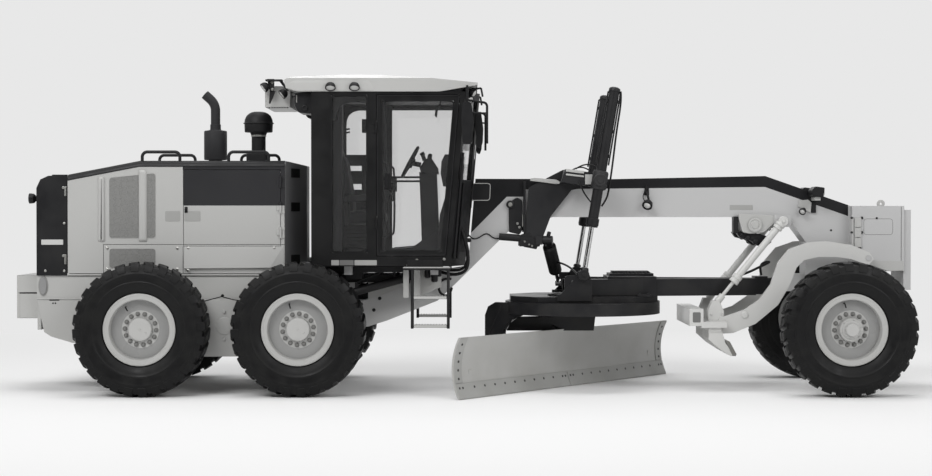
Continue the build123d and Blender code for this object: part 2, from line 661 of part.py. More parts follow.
def drawbar():
    """A-frame from the ball at the nose to the plate over the circle."""
    x, ball = CIRCLE_X, BALL_X
    z0, z1 = 960, 1125
    pieces = [
        Pos(ball, 0, BALL_Z) * Solid.make_sphere(BALL_R, angle1=-90),
        bar((ball, 0, BALL_Z), (ball - 220, 0, BALL_Z), 48),
        block(ball - 330, ball - 200, -115, 115, z0, z1 + 20),
        plan_plate([(x - 750, 250), (x - 480, 560), (x + 480, 560), (x + 750, 300), (x + 750, -300),
                    (x + 480, -560), (x - 480, -560), (x - 750, -250)], *DRAW_PLATE_Z),
        block(x - 120, x + 20, -LIFT_Y + 60, LIFT_Y - 60, 930, z1),
        block(x + 240, x + 735, -330, 330, 940, 1150),
        block(x + 300, x + 680, -110, 110, 1140, 1200),
        block(SHIFT_FOOT[0] + 36 + GAP, x - 110, SHIFT_FOOT[1] - 45, SHIFT_FOOT[1] + 45, 940, SHIFT_FOOT[2] + 40),
    ]
    for _, s in SIDES:
        arm = [(ball - 250, s * 110), (x + 30, s * 430), (x + 30, s * 310), (ball - 250, s * 10)]
        pieces.append(plan_plate(arm, z0, z1))
        y0, y1 = sorted((s * (LIFT_Y - 65), s * (LIFT_Y - 35)))
        lug = [(x - 290, 948), (x - 150, 1090), (x - 75, 1215), (x + 25, 1215), (x + 60, 1090), (x + 60, 948)]
        pieces.append(side_plate(lug, y0, y1))
        pieces.append(block(x - 290, x + 60, *sorted((s * 500, s * (LIFT_Y - 35))), DRAW_PLATE_Z[0] + 20, 980))
    grease_bore = bar((ball, -BALL_R - 1, BALL_Z), (ball, BALL_R + 1, BALL_Z), 8)
    return joined(*pieces) - grease_bore


def ring(outer, inner, z0, z1):
    return bar((CIRCLE_X, 0, z0), (CIRCLE_X, 0, z1), outer) - bar((CIRCLE_X, 0, z0 - 1), (CIRCLE_X, 0, z1 + 1), inner)


TURN_BLADE = Pos(CIRCLE_X, 0, 0) * Rot(Z=-BLADE_ANGLE)     # blade pieces are drawn straight across
ARM_Y = 650
ARM_T = 45
PITCH_PIN = (-340, 330)             # blade pitch pin, back of the circle centre and height
BLADE_EDGE_X = -97                  # cutting edge, ahead of the circle centre
BLADE_SHIFT = -70                   # how far the blade stands to the right along its rails
RAIL_Z = (235, 420)                 # the two slide rails behind the blade
RAIL_R = 28


def circle():
    """Toothed turning ring with its two blade arms."""
    pieces = [ring(CIRCLE_R, CIRCLE_R - 60, *RING_Z), ring(CIRCLE_R - 40, CIRCLE_R - 170, 830, RING_Z[1])]
    outline = [(60, RING_Z[1] - 12), (-640, RING_Z[1] - 12), (-735, 830), (-775, 740), (-775, 400),
               (-700, 270), (-560, 235), (-345, 235), (-298, 285), (-298, 375), (-345, 400), (-480, 400),
               (-545, 480),
               (-530, 600), (-450, 700), (-300, 755), (60, RING_Z[0])]
    for _, s in SIDES:
        y0, y1 = sorted((s * ARM_Y, s * (ARM_Y - ARM_T)))
        pieces.append(TURN_BLADE * side_plate(outline, y0, y1))
        y0, y1 = sorted((s * (ARM_Y - 20), s * 420))
        pieces.append(TURN_BLADE * block(-160, 60, y0, y1, RING_Z[0], RING_Z[1] - 12))
    ring_part = joined(*pieces)
    x, z = PITCH_PIN
    return ring_part - TURN_BLADE * bar((x, -ARM_Y - 1, z), (x, ARM_Y + 1, z), 32 + SLIP)


def blade_section():
    """(x, z) of the moldboard's front arc: foot, deepest point and top, measured from the edge."""
    return (0, 0), (-75, 260), (10, BLADE_HEIGHT)


def moldboard():
    """Curved blade with its cutting edge and the two slide rails on its back."""
    x, y = BLADE_EDGE_X, BLADE_LENGTH / 2
    foot, deep, top = [Vector(x + px, -y, pz) for px, pz in blade_section()]
    back_foot, back_deep, back_top = [Vector(x + px - BLADE_PLATE, -y, pz) for px, pz in blade_section()]
    back_foot = Vector(back_foot.X, -y, 0)
    edges = [ThreePointArc(foot, deep, top), Line(top, back_top),
             ThreePointArc(back_top, back_deep, back_foot), Line(back_foot, foot)]
    plate = Solid.extrude(Face(Wire([e for part in edges for e in part.edges()])), Vector(0, 2 * y, 0))
    pieces = [plate]
    for z in RAIL_Z:
        pieces.append(bar((RAIL_X, -y + 250, z), (RAIL_X, y - 250, z), RAIL_R))
        for step in (-1, 1):
            y0 = step * (y - 270)
            pieces.append(block(RAIL_X - 20, x - 70, min(y0, y0 + step * 40), max(y0, y0 + step * 40), z - 40, z + 40))
    whole = Pos(0, BLADE_SHIFT, 0) * joined(*pieces)
    return TURN_BLADE * whole


RAIL_X = BLADE_EDGE_X - 150


def blade_carriage():
    """Carriage on the pitch pins, with the slides that grip the blade's rails."""
    px, pz = PITCH_PIN
    reach = ARM_Y - ARM_T - GAP
    pieces = [bar((px, -ARM_Y, pz), (px, ARM_Y, pz), 32)]
    for _, s in SIDES:
        y0, y1 = sorted((s * reach, s * (reach - 90)))
        pieces.append(block(px - 40, RAIL_X + 10, y0, y1, RAIL_Z[0] - 45, RAIL_Z[1] + 45))
        for z in RAIL_Z:
            pieces.append(bar((RAIL_X, y0, z), (RAIL_X, y1, z), RAIL_R + 18))
    carriage = joined(*pieces)
    for z in RAIL_Z:
        carriage = carriage - bar((RAIL_X, -ARM_Y, z), (RAIL_X, ARM_Y, z), RAIL_R + SLIP)
    return TURN_BLADE * carriage


# ---- scarifier ------------------------------------------------------------------------------
def scarifier():
    """Two arms over the front axle, the crossbeam behind it and the teeth."""
    f = FRONT_X
    arm = [(f - 1231, 640), (f - 1174, 731), (f - 929, 816), (f - 777, 921), (f - 664, 1073),
           (f - 588, 1299), (f - 475, 1433), (f - 286, 1499), (f - 97, 1512), (f + 150, 1475),
           (f + 338, 1400), (f + 385, 1330), (f + 330, 1270), (f + 270, 1290), (f + 150, 1330),
           (f + 18, 1350), (f - 172, 1353), (f - 323, 1319), (f - 399, 1243), (f - 474, 1053),
           (f - 587, 864), (f - 814, 674), (f - 1041, 580), (f - 1190, 572)]
    pieces = []
    for _, s in SIDES:
        y0, y1 = sorted((s * (SCAR_Y - 22), s * (SCAR_Y + 22)))
        pieces.append(side_plate(arm, y0, y1))
    y = SCAR_REACH
    pieces.append(block(f - 1500, f - 1360, -y, y, 660, 830))
    pieces.append(block(f - 1380, f - 1120, -y, y, 640, 700))
    for _, s in SIDES:
        lug = [(f - 1290, 690), (f - 1290, 800), (f - 1250, 905), (f - 1175, 905), (f - 1130, 800), (f - 1130, 690)]
        for edge in (SCAR_CYL_Y - 58, SCAR_CYL_Y + 28):
            y0, y1 = sorted((s * edge, s * (edge + 30)))
            pieces.append(side_plate(lug, y0, y1))
    shank = [(f - 1300, 650), (f - 1180, 650), (f - 1130, 480), (f - 1030, 355), (f - 1080, 352),
             (f - 1200, 430), (f - 1300, 520)]
    count = 11
    for n in range(count):
        y = (n - (count - 1) / 2) * 100
        pieces.append(side_plate(shank, y - 14, y + 14))
    teeth_beam = joined(*pieces)
    x, z = SCAR_PIVOT
    return teeth_beam - bar((x, -600, z), (x, 600, z), 30 + SLIP)


# ---- cab ------------------------------------------------------------------------------------
CAB_BACK = PIVOT_X - 133
CAB_SHOULDER = PIVOT_X + 1254       # where the front corners start, at the floor
CAB_NOSE = PIVOT_X + 1400
NOSE_HALF = 400
CAB_SLANT = 149                     # how far the roof's front stands ahead of the floor's
DOOR_BACK = PIVOT_X + 515
DOOR_SILL = 1365
DOOR_HEAD = 2979


def cab_plan(inset, lean):
    """The cab's plan at one height; the front half moves forward by lean."""
    back, half = CAB_BACK + inset, CAB_HALF - inset
    shoulder, nose = CAB_SHOULDER - inset * 0.45 + lean, CAB_NOSE - inset + lean
    return [(back, -half), (shoulder, -half), (nose, -NOSE_HALF + inset * 0.3),
            (nose, NOSE_HALF - inset * 0.3), (shoulder, half), (back, half)]


def slant(z):
    return CAB_SLANT * (z - CAB_FLOOR_Z) / (CAB_ROOF_Z - CAB_FLOOR_Z)


def cab_form(inset, z0, z1):
    low = Wire.make_polygon([Vector(x, y, z0) for x, y in cab_plan(inset, slant(z0))], close=True)
    high = Wire.make_polygon([Vector(x, y, z1) for x, y in cab_plan(inset, slant(z1))], close=True)
    return Solid.make_loft([low, high], ruled=True)


def door_outline(margin):
    front = CAB_SHOULDER - 50
    z0, z1 = DOOR_SILL + margin, DOOR_HEAD - margin
    return [(DOOR_BACK + margin, z0), (front - margin + slant(z0), z0),
            (front - margin + slant(z1), z1), (DOOR_BACK + margin, z1)]


def door_window(margin=0):
    front = CAB_SHOULDER - 100
    z0, z1 = DOOR_SILL + 45 + margin, DOOR_HEAD - 60 - margin
    return [(DOOR_BACK + 45 + margin, z0), (front - margin + slant(z0), z0),
            (front - margin + slant(z1), z1), (DOOR_BACK + 45 + margin, z1)]


QUARTER = [(CAB_BACK + 195, 1400), (DOOR_BACK - 85, 1400), (DOOR_BACK - 85, 2975), (CAB_BACK + 195, 2975)]


def corner_pane(depth_out, depth_in, side):
    """The slanted opening in a front corner face, from depth_out outside it to depth_in inside."""
    run = Vector(CAB_NOSE - CAB_SHOULDER, side * (NOSE_HALF - CAB_HALF), 0)
    along_edge = run.normalized()
    outward = Vector(abs(along_edge.Y), side * along_edge.X, 0)
    z0, z1 = 1420, 2950
    corners = []
    for z, ends in ((z0, (55, run.length - 45)), (z1, (run.length - 45, 55))):
        base = Vector(CAB_SHOULDER + slant(z), side * CAB_HALF, z)
        corners += [base + along_edge * e + outward * depth_out for e in ends]
    return prism([(c.X, c.Y, c.Z) for c in corners], tuple(outward * -(depth_out + depth_in)))


def windshield(depth_out, depth_in):
    half = NOSE_HALF - 45
    z0, z1 = 1420, 2950
    x0, x1 = CAB_NOSE + slant(z0), CAB_NOSE + slant(z1)
    points = [(x0 + depth_out, -half, z0), (x0 + depth_out, half, z0), (x1 + depth_out, half, z1),
              (x1 + depth_out, -half, z1)]
    return prism(points, (-depth_out - depth_in, 0, 0))


def rear_pane(depth_out, depth_in):
    return block(CAB_BACK - depth_out, CAB_BACK + depth_in, -560, 560, 1900, 2900)


def cab_shell():
    shell = cab_form(0, CAB_FLOOR_Z, CAB_ROOF_Z) - cab_form(CAB_WALL, DOOR_SILL - 20, CAB_ROOF_Z + 40)
    for _, s in SIDES:
        y0, y1 = sorted((s * (CAB_HALF - CAB_WALL - 40), s * (CAB_HALF + 1)))
        shell = shell - side_plate(door_outline(0), y0, y1) - side_plate(QUARTER, y0, y1)
        shell = shell - corner_pane(20, 90, s)
    shell = shell - windshield(20, 80) - rear_pane(5, CAB_WALL + 5)
    leaves = []
    for _, s in SIDES:
        for z in CAB_HINGE_Z:
            leaves += hinge(DOOR_BACK, s * CAB_HALF, z, s, -40, 40)[0]
    return joined(shell, *leaves)


CAB_HINGE_Z = (1700, 2650)
GLASS_T = 6


def cab_glass():
    panes = [windshield(-20, 20 + GLASS_T), rear_pane(-20, 20 + GLASS_T)]
    for _, s in SIDES:
        panes.append(corner_pane(-20, 20 + GLASS_T, s))
        y0, y1 = sorted((s * (CAB_HALF - 20), s * (CAB_HALF - 20 - GLASS_T)))
        panes.append(side_plate(QUARTER, y0, y1))
    return panes


def cab_door(side):
    y0, y1 = sorted((side * CAB_HALF, side * (CAB_HALF - CAB_WALL + 10)))
    door = side_plate(door_outline(GAP), y0, y1) - side_plate(door_window(), y0 - 1, y1 + 1)
    leaves = [hinge(DOOR_BACK, side * CAB_HALF, z, side, -40, 40)[1] for z in CAB_HINGE_Z]
    return joined(door, *leaves)


def door_glass(side):
    y0, y1 = sorted((side * (CAB_HALF - 12), side * (CAB_HALF - 12 - GLASS_T)))
    return side_plate(door_window(), y0, y1)


def cab_roof():
    back, front = CAB_BACK - 270, CAB_NOSE + CAB_SLANT - 25
    side = [(back, 3117), (back + 20, 3040), (CAB_BACK - 130, CAB_ROOF_Z), (CAB_SHOULDER - 110, CAB_ROOF_Z),
            (front, 3070), (front, 3094), (PIVOT_X + 470, 3200), (PIVOT_X + 100, 3195), (back + 60, 3160)]
    roof = side_plate(side, -ROOF_HALF, ROOF_HALF)
    crown = [(-ROOF_HALF - 1, 2990), (ROOF_HALF + 1, 2990), (ROOF_HALF + 1, 3140), (420, 3201),
             (-420, 3201), (-ROOF_HALF - 1, 3140)]
    roof = roof & cross_plate(crown, back - 5, front + 5)
    unit = block(CAB_BACK - 495, CAB_BACK - 240, -430, 430, 2870, 3073)
    neck = block(CAB_BACK - 260, CAB_BACK, -300, 300, 3010, 3073)
    return joined(roof, unit, neck)


def seat():
    x = PIVOT_X + 330
    z = DOOR_SILL - 20
    base = block(x - 150, x + 150, -180, 180, z, z + 330)
    cushion = block(x - 230, x + 260, -250, 250, z + 330, z + 460)
    back = side_plate([(x - 260, z + 400), (x - 130, z + 400), (x - 200, z + 1100), (x - 310, z + 1100)], -240, 240)
    return joined(base, cushion, back)


def steering_console():
    x, z = PIVOT_X + 1000, DOOR_SILL - 20
    column = side_plate([(x - 40, z), (x + 140, z), (x + 60, z + 700), (x - 80, z + 720)], -120, 120)
    desk = side_plate([(x - 120, z + 700), (x + 90, z + 680), (x + 60, z + 860), (x - 60, z + 900)], -190, 190)
    return joined(column, desk)


def ladders():
    """A ladder each side: two pairs of rails with two treads, under a landing at the sill."""
    made = []
    x0, x1 = PIVOT_X + 880, PIVOT_X + 1235
    outer, inner = CAB_HALF + 235, CAB_HALF + 115
    for _, s in SIDES:
        pieces = [bar((x, s * y, 660), (x, s * y, 1245), 14) for x in (x0, x1) for y in (outer, inner)]
        y0, y1 = sorted((s * outer, s * inner))
        for z in (668, 950):
            pieces.append(block(x0, x1, y0, y1, z, z + 22))
        y0, y1 = sorted((s * CAB_HALF, s * (CAB_HALF + 250)))
        pieces.append(block(PIVOT_X + 790, x1 + 20, y0, y1, 1235, 1255))
        y0, y1 = sorted((s * CAB_HALF, s * (CAB_HALF + 12)))
        pieces.append(block(PIVOT_X + 820, x1 - 60, y0, y1, 1250, 1330))
        made.append(joined(*pieces))
    return made


def mirrors():
    """A mirror each side on an arm from the roof's edge."""
    made = []
    x, z = CAB_SHOULDER + 108, 2680
    outline = [(x + 14, z - 202), (x + 108, z - 202), (x + 124, z + 40), (x + 96, z + 205), (x + 16, z + 205), (x, z + 60)]
    loop = x + 255                     # upright of the tube that guards the head
    for _, s in SIDES:
        y = s * (CAB_HALF + 190)
        head = side_plate(outline, *sorted((y - 110, y + 110)), rounding=28)
        post = bar((x + 60, y, z + 190), (x + 60, y, 3052), 12)
        arm = bar((x + 60, y + s * 12, 3045), (x + 60, s * ROOF_HALF, 3045), 12)
        guard = bent_rail([(x + 60, y, z + 230), (loop, y, z + 200), (loop, y, z - 200)], 40, 12)
        tie = bar((x + 100, y, z + 100), (loop, y, z + 100), 9)
        made.append(joined(head, post, arm, guard, tie))
    return made


def main():
    os.makedirs("parts", exist_ok=True)
    wheels()
    write("rear_frame", rear_frame())
    write("rear_axle", rear_axle())
    write("tandem_cases", tandem_case(-1), tandem_case(1))
    write("rear_block", rear_block())
    write("engine_hood", engine_hood())
    write("rear_cowl", rear_cowl())
    write("rear_door", rear_door())
    write("engine_block", engine_block())
    write("exhaust_stack", exhaust_stack())
    write("pre_cleaner", pre_cleaner())
    write("hood_handrails", *hood_handrails())
    write("front_frame", front_frame())
    write("lift_arms", lift_arms())
    write("bolster_foot", bolster_foot())
    write("front_axle", front_axle())
    write("lean_bar", lean_bar())
    for word, s in SIDES:
        write("hood_door_" + word, hood_door(s))
        write("cab_door_" + word, cab_door(s))
        write("door_glass_" + word, door_glass(s))
        write("lean_frame_" + word, lean_frame(s))
        write("knuckle_" + word, knuckle(s))
        write("articulation_barrel_" + word, articulation_barrel(s))
        write("articulation_rod_" + word, articulation_rod(s))
    write("lift_barrels", *lift_barrels())
    write("lift_rods", *lift_rods())
    write("shift_barrel", shift_barrel())
    write("shift_rod", shift_rod())
    write("drawbar", drawbar())
    write("circle", circle())
    write("blade_carriage", blade_carriage())
    write("moldboard", moldboard())
    write("scarifier", scarifier())
    write("scarifier_barrels", *scarifier_barrels())
    write("scarifier_rods", *scarifier_rods())
    write("cab_shell", cab_shell())
    write("cab_glass", *cab_glass())
    write("cab_roof", cab_roof())
    write("seat", seat())
    write("steering_console", steering_console())
    write("ladders", *ladders())
    write("mirrors", *mirrors())


main()
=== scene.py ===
from math import cos, pi, radians, sin

import bmesh
import bpy
from mathutils import Matrix, Vector


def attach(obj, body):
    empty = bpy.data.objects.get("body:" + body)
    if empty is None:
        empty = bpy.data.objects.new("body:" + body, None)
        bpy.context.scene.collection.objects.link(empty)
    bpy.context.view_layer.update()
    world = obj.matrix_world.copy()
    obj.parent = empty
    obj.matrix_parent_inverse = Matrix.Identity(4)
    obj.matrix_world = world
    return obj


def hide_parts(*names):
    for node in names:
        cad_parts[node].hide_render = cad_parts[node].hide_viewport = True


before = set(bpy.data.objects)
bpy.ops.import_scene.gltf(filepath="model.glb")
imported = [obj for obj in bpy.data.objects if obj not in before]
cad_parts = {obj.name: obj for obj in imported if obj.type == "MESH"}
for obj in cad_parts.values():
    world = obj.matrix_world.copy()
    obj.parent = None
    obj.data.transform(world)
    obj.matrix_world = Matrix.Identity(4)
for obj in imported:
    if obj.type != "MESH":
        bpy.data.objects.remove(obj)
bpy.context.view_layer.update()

# Lengths along the machine are measured from the middle between its rear axles, as it is
# drawn; MIDDLE takes them to the model's origin. Metres, +X forward, +Y to the machine's left.
MIDDLE = 2.3995
WHEELBASE = 6.16
AXLE_Z = 0.66
TRACK_HALF = 1.04
SIDES = (("right", -1), ("left", 1))
UP, AHEAD, BACK = Vector((0, 0, 1)), Vector((1, 0, 0)), Vector((-1, 0, 0))


def at(x, y, z):
    """A point of the model from lengths measured as the machine is drawn."""
    return Vector((x - MIDDLE, y, z))


def sideways(side):
    """Straight out of the machine on its right (-1) or left (1)."""
    return Vector((0, side, 0))


def around(count, start=0.0):
    """Evenly spaced angles round a whole turn."""
    return [2 * pi * i / count + start for i in range(count)]


# ---- materials ------------------------------------------------------------------------------
def linear(hex_colour):
    """An sRGB hex colour as the linear one that a shader takes."""
    parts = [int(hex_colour[i:i + 2], 16) / 255 for i in (0, 2, 4)]
    return [c / 12.92 if c <= 0.04045 else ((c + 0.055) / 1.055) ** 2.4 for c in parts] + [1.0]


def add(tree, kind, inputs=None, **settings):
    """One shader node: its settings, and for its inputs either a value or the socket that feeds it."""
    made = tree.nodes.new("ShaderNode" + kind)
    for name, value in settings.items():
        setattr(made, name, value)
    for socket, value in (inputs or {}).items():
        if isinstance(value, bpy.types.NodeSocket):
            tree.links.new(value, made.inputs[socket])
        else:
            made.inputs[socket].default_value = value
    return made


def surface(name, colour, roughness, **sockets):
    """A material whose shader has these constant values; gives the material, its tree and shader."""
    material = bpy.data.materials.new(name)
    material.use_nodes = True
    tree = material.node_tree
    shader = tree.nodes["Principled BSDF"]
    shader.inputs["Base Color"].default_value = linear(colour)
    shader.inputs["Roughness"].default_value = roughness
    for socket, value in sockets.items():
        shader.inputs[socket.replace("_", " ")].default_value = value
    material.diffuse_color = linear(colour)
    return material, tree, shader


def place_of(tree):
    """Position in the piece's own coordinates, which stay with it when it moves."""
    return add(tree, "TexCoord").outputs["Object"]


def math(tree, rule, first, second):
    """One sum of two values or sockets."""
    return add(tree, "Math", {0: first, 1: second}, operation=rule).outputs[0]


def speckle(tree, place, size, detail=2.0):
    """Noise whose grains are about size metres across, from 0 to 1."""
    return add(tree, "TexNoise", {"Vector": place, "Scale": 1 / size, "Detail": detail}).outputs["Fac"]


def spread(tree, value, low, high, out_low, out_high):
    """A value's range from low to high stretched onto another."""
    return add(tree, "MapRange", {"Value": value, "From Min": low, "From Max": high, "To Min": out_low,
        "To Max": out_high}).outputs["Result"]


def shade(tree, factor, first, second):
    """A colour between two, as factor goes from 0 to 1."""
    return add(tree, "Mix", {0: factor, 6: first, 7: second}, data_type="RGBA").outputs[2]


def paint(tree, shader, colour, rough):
    """Feeds a shader's colour and roughness."""
    tree.links.new(colour, shader.inputs["Base Color"])
    tree.links.new(rough, shader.inputs["Roughness"])


def dust_on(tree, place, cloud, patches, heights):
    """Dust in cloudy patches, thickest low down, from 0 to 1."""
    height = add(tree, "SeparateXYZ", {0: place}).outputs["Z"]
    return math(tree, "MULTIPLY", spread(tree, cloud, *patches), spread(tree, height, *heights))


def rounded(tree, shader, radius, height, strength, distance):
    """Softens the sharp edges by radius in the light, with a fine relief on top."""
    edge = add(tree, "Bevel", {"Radius": radius}, samples=4).outputs["Normal"]
    relief = add(tree, "Bump", {"Height": height, "Normal": edge, "Strength": strength,
        "Distance": distance})
    tree.links.new(relief.outputs["Normal"], shader.inputs["Normal"])


def within(tree, place, low, high):
    """1 inside the box from low to high, else 0. None leaves a side open."""
    split = add(tree, "SeparateXYZ", {0: place})
    result = None
    for axis in range(3):
        for limit, rule in ((low[axis], "GREATER_THAN"), (high[axis], "LESS_THAN")):
            if limit is None:
                continue
            test = math(tree, rule, split.outputs[axis], limit)
            result = test if result is None else math(tree, "MULTIPLY", result, test)
    return result


def either(tree, masks):
    """The highest of several masks."""
    result = masks[0]
    for mask in masks[1:]:
        result = math(tree, "MAXIMUM", result, mask)
    return result


def beam_stripe(tree, place):
    """1 above the painted line of the beam: a stripe along its top and the panel behind the saddle."""
    split = add(tree, "SeparateXYZ", {0: place})

    def above(x, z, rise):
        """1 over the line through (x, z) that climbs by rise."""
        fall = add(tree, "Math", {0: split.outputs["X"], 1: -rise, 2: rise * (x - MIDDLE) - z},
            operation="MULTIPLY_ADD").outputs[0]
        return math(tree, "GREATER_THAN", math(tree, "ADD", split.outputs["Z"], fall), 0.0)

    top = either(tree, [above(2.505, 2.034, 0.0105), above(5.483, 2.064, -0.350)])
    behind_saddle = within(tree, place, (None, None, None), (3.0 - MIDDLE, None, None))
    rear_panel = either(tree, [above(2.428, 1.561, 1.0128), above(2.82, 1.965, 0.0)])
    before_nose = within(tree, place, (None, None, 1.30), (6.335 - MIDDLE, None, None))
    stripe = either(tree, [top, math(tree, "MULTIPLY", rear_panel, behind_saddle)])
    return math(tree, "MULTIPLY", stripe, before_nose)


LIGHT = "b4b4b2"
LIGHT_DUSTY = "b0afac"
DARK = "19191b"
DARK_DUSTY = "2e2d2b"


def enamel(name, dark_boxes=(), base=LIGHT, dusty=LIGHT_DUSTY, roughness=0.34, outline=None, painted_shading_boxes=(),
        grey="505052", dark=DARK):
    """Two-pack enamel sprayed on steel: an even coat with faint orange peel, slightly cloudy low
    down where dust settles, and satin black inside the listed boxes or above an outline.
    Inside the painted shading boxes the paint is a flat grey of painted light and shade."""
    material, tree, shader = surface(name, base, roughness, Specular_IOR_Level=0.3, Coat_Weight=0.08,
        Coat_Roughness=0.25)
    place = place_of(tree)
    cloud = speckle(tree, place, 0.45, 4.0)
    dust = dust_on(tree, place, cloud, (0.35, 0.7, 0.1, 1.0), (1.3, 0.1, 0.0, 0.75))
    colour = shade(tree, dust, linear(base), linear(dusty))
    # Dark boxes hold two-tone paint; the painted shading boxes hold a flat grey of painted light and shade.
    for boxes, tone in ((dark_boxes, dark), (painted_shading_boxes, grey)):
        if boxes:
            mask = either(tree, [within(tree, place, low, high) for low, high in boxes])
            colour = shade(tree, mask, colour, linear(tone))
    if outline:
        colour = shade(tree, outline(tree, place), colour, linear(DARK))
    paint(tree, shader, colour, spread(tree, cloud, 0.3, 0.7, roughness - 0.05, roughness + 0.08))
    # Real orange peel is about 2 mm from crest to crest; 6 mm lets it show.
    rounded(tree, shader, 0.004, speckle(tree, place, 0.006), 0.06, 0.0006)
    return material


def satin_black(name, base=DARK, dusty=DARK_DUSTY, roughness=0.42):
    """Black chassis enamel: satin, greyer where dust and rubbing dull it."""
    material, tree, shader = surface(name, base, roughness, Specular_IOR_Level=0.3)
    place = place_of(tree)
    cloud = speckle(tree, place, 0.2, 5.0)
    dust = dust_on(tree, place, cloud, (0.42, 0.68, 0.0, 1.0), (1.6, 0.2, 0.12, 0.8))
    paint(tree, shader, shade(tree, dust, linear(base), linear(dusty)), spread(tree, cloud, 0.35, 0.7,
        roughness - 0.06, roughness + 0.16))
    rounded(tree, shader, 0.003, speckle(tree, place, 0.004), 0.08, 0.0005)
    return material


def moulded_rubber(name, base="09090a", worn="151514"):
    """Carbon-black tyre rubber: dull, with fine mould texture and grey dust in its hollows."""
    material, tree, shader = surface(name, base, 0.62, Specular_IOR_Level=0.25)
    place = place_of(tree)
    cloud = speckle(tree, place, 0.12, 6.0)
    paint(tree, shader, shade(tree, spread(tree, cloud, 0.45, 0.75, 0.0, 0.9), linear(base), linear(worn)),
        spread(tree, cloud, 0.3, 0.7, 0.36, 0.62))
    rounded(tree, shader, 0.003, speckle(tree, place, 0.005, 3.0), 0.25, 0.0008)
    return material


def moulded_plastic(name, base="121214", roughness=0.5):
    """Black ABS with a fine leather-like mould grain."""
    material, tree, shader = surface(name, base, roughness, Specular_IOR_Level=0.3)
    place = place_of(tree)
    grain = add(tree, "TexVoronoi", {"Vector": place, "Scale": 1 / 0.004}).outputs["Distance"]
    tree.links.new(spread(tree, speckle(tree, place, 0.09, 4.0), 0.3, 0.7, roughness - 0.08,
        roughness + 0.1), shader.inputs["Roughness"])
    rounded(tree, shader, 0.003, grain, 0.12, 0.0004)
    return material


def bare_steel(name, base, roughness, tarnished):
    """Rolled or turned steel: fine lines along the work, a little tarnish in patches."""
    material, tree, shader = surface(name, base, roughness, Metallic=1.0)
    place = place_of(tree)
    cloud = speckle(tree, place, 0.07, 5.0)
    tarnish = shade(tree, spread(tree, cloud, 0.4, 0.7, 0.0, 1.0), linear(base), linear(tarnished))
    paint(tree, shader, tarnish, spread(tree, cloud, 0.3, 0.7, roughness - 0.08, roughness + 0.15))
    rounded(tree, shader, 0.002, speckle(tree, place, 0.003), 0.1, 0.0003)
    return material


def hard_chrome():
    """Ground and plated piston rod: mirror bright with a faint smear of oil."""
    material, tree, shader = surface("hard_chrome", "dcdcdc", 0.1, Metallic=1.0)
    place = place_of(tree)
    smear = speckle(tree, place, 0.05, 3.0)
    tree.links.new(spread(tree, smear, 0.35, 0.7, 0.06, 0.24), shader.inputs["Roughness"])
    return material


def float_glass():
    """Flat safety glass: clear, with a faint grey tint and a film of dust on it."""
    material, tree, shader = surface("float_glass", "eeeeee", 0.0, IOR=1.5, Transmission_Weight=1.0)
    film = speckle(tree, place_of(tree), 0.25, 4.0)
    tree.links.new(spread(tree, film, 0.4, 0.8, 0.0, 0.03), shader.inputs["Roughness"])
    return material


def lamp_glass():
    """Ribbed lamp lens: clear with close moulded flutes."""
    material, tree, shader = surface("lamp_glass", "e4e4e2", 0.08, IOR=1.5, Transmission_Weight=0.25)
    place = place_of(tree)
    flutes = add(tree, "TexWave", {"Vector": place, "Scale": 18.0, "Distortion": 0.4}).outputs["Fac"]
    rounded(tree, shader, 0.002, flutes, 0.35, 0.002)
    return material


def seat_weave():
    """Woven seat cloth: threads about 1 mm apart, drawn 3 mm apart so that they show."""
    material, tree, shader = surface("seat_weave", "27272a", 0.9, Sheen_Weight=0.35, Sheen_Roughness=0.5)
    place = place_of(tree)
    threads = {"Vector": place, "Scale": 1 / 0.003 / 6.28, "Distortion": 0.6}
    weft, warp = (add(tree, "TexWave", threads, bands_direction=way).outputs["Fac"] for way in ("X", "Z"))
    weave = math(tree, "MULTIPLY", weft, warp)
    tree.links.new(shade(tree, weave, linear("1d1d20"), linear("343438")), shader.inputs["Base Color"])
    bump = add(tree, "Bump", {"Height": weave, "Strength": 0.5, "Distance": 0.001})
    tree.links.new(bump.outputs["Normal"], shader.inputs["Normal"])
    return material


LIGHT_PAINT = enamel("light_enamel")
# The wheel disc inside |y| < 1.10 is painted a darker grey: painted shade for the disc deep in its rim.
RIM_PAINT = enamel("rim_enamel", base="b0b0ae", dusty="a3a29f", roughness=0.3,
    painted_shading_boxes=[((None, -1.10, None), (None, 1.10, None))], grey="929291")
NUT_PAINT = enamel("nut_enamel", base="767674", dusty="6e6d6a")
HUB_PAINT = enamel("hub_enamel", base="b4b4b2", dusty="a9a8a6")
TOOL_PAINT = enamel("tool_enamel", base="cacac8", dusty="c2c1be")
SOFT_GREY = enamel("soft_grey", base="a0a09e", dusty="989896")
# Mid grey: painted shade for the open ends of the front tool's box sections, and the colour of one grey
# sill label.
HOLE_SHADE_AND_LABEL_GREY = enamel("hole_shade_and_label_grey", base="6e6e6d", dusty="6a6a68")
BLADE_PAINT = enamel("blade_enamel", base="b6b6b4", dusty="a5a4a0", roughness=0.4)
BLACK_PAINT = satin_black("black_enamel")
CAB_PAINT = satin_black("cab_enamel", "0c0c0d", "181818")
CAST_PAINT = satin_black("cast_enamel", base="2c2c2d", dusty="42413f", roughness=0.55)
TYRE_RUBBER = moulded_rubber("tyre_rubber")
HOSE_RUBBER = moulded_rubber("hose_rubber", "131314", "202020")
BLACK_PLASTIC = moulded_plastic("moulded_abs")
ARM_PAINT = satin_black("arm_enamel", "232325", "343331")
GREY_PLASTIC = moulded_plastic("grey_abs", "8f8f8d", 0.45)
ZINC = bare_steel("zinc_plate", "b5b5b2", 0.35, "a5a4a0")
WORN_STEEL = bare_steel("wear_steel", "8f8e8b", 0.38, "8d8a84")
CHROME = hard_chrome()
GLASS = float_glass()
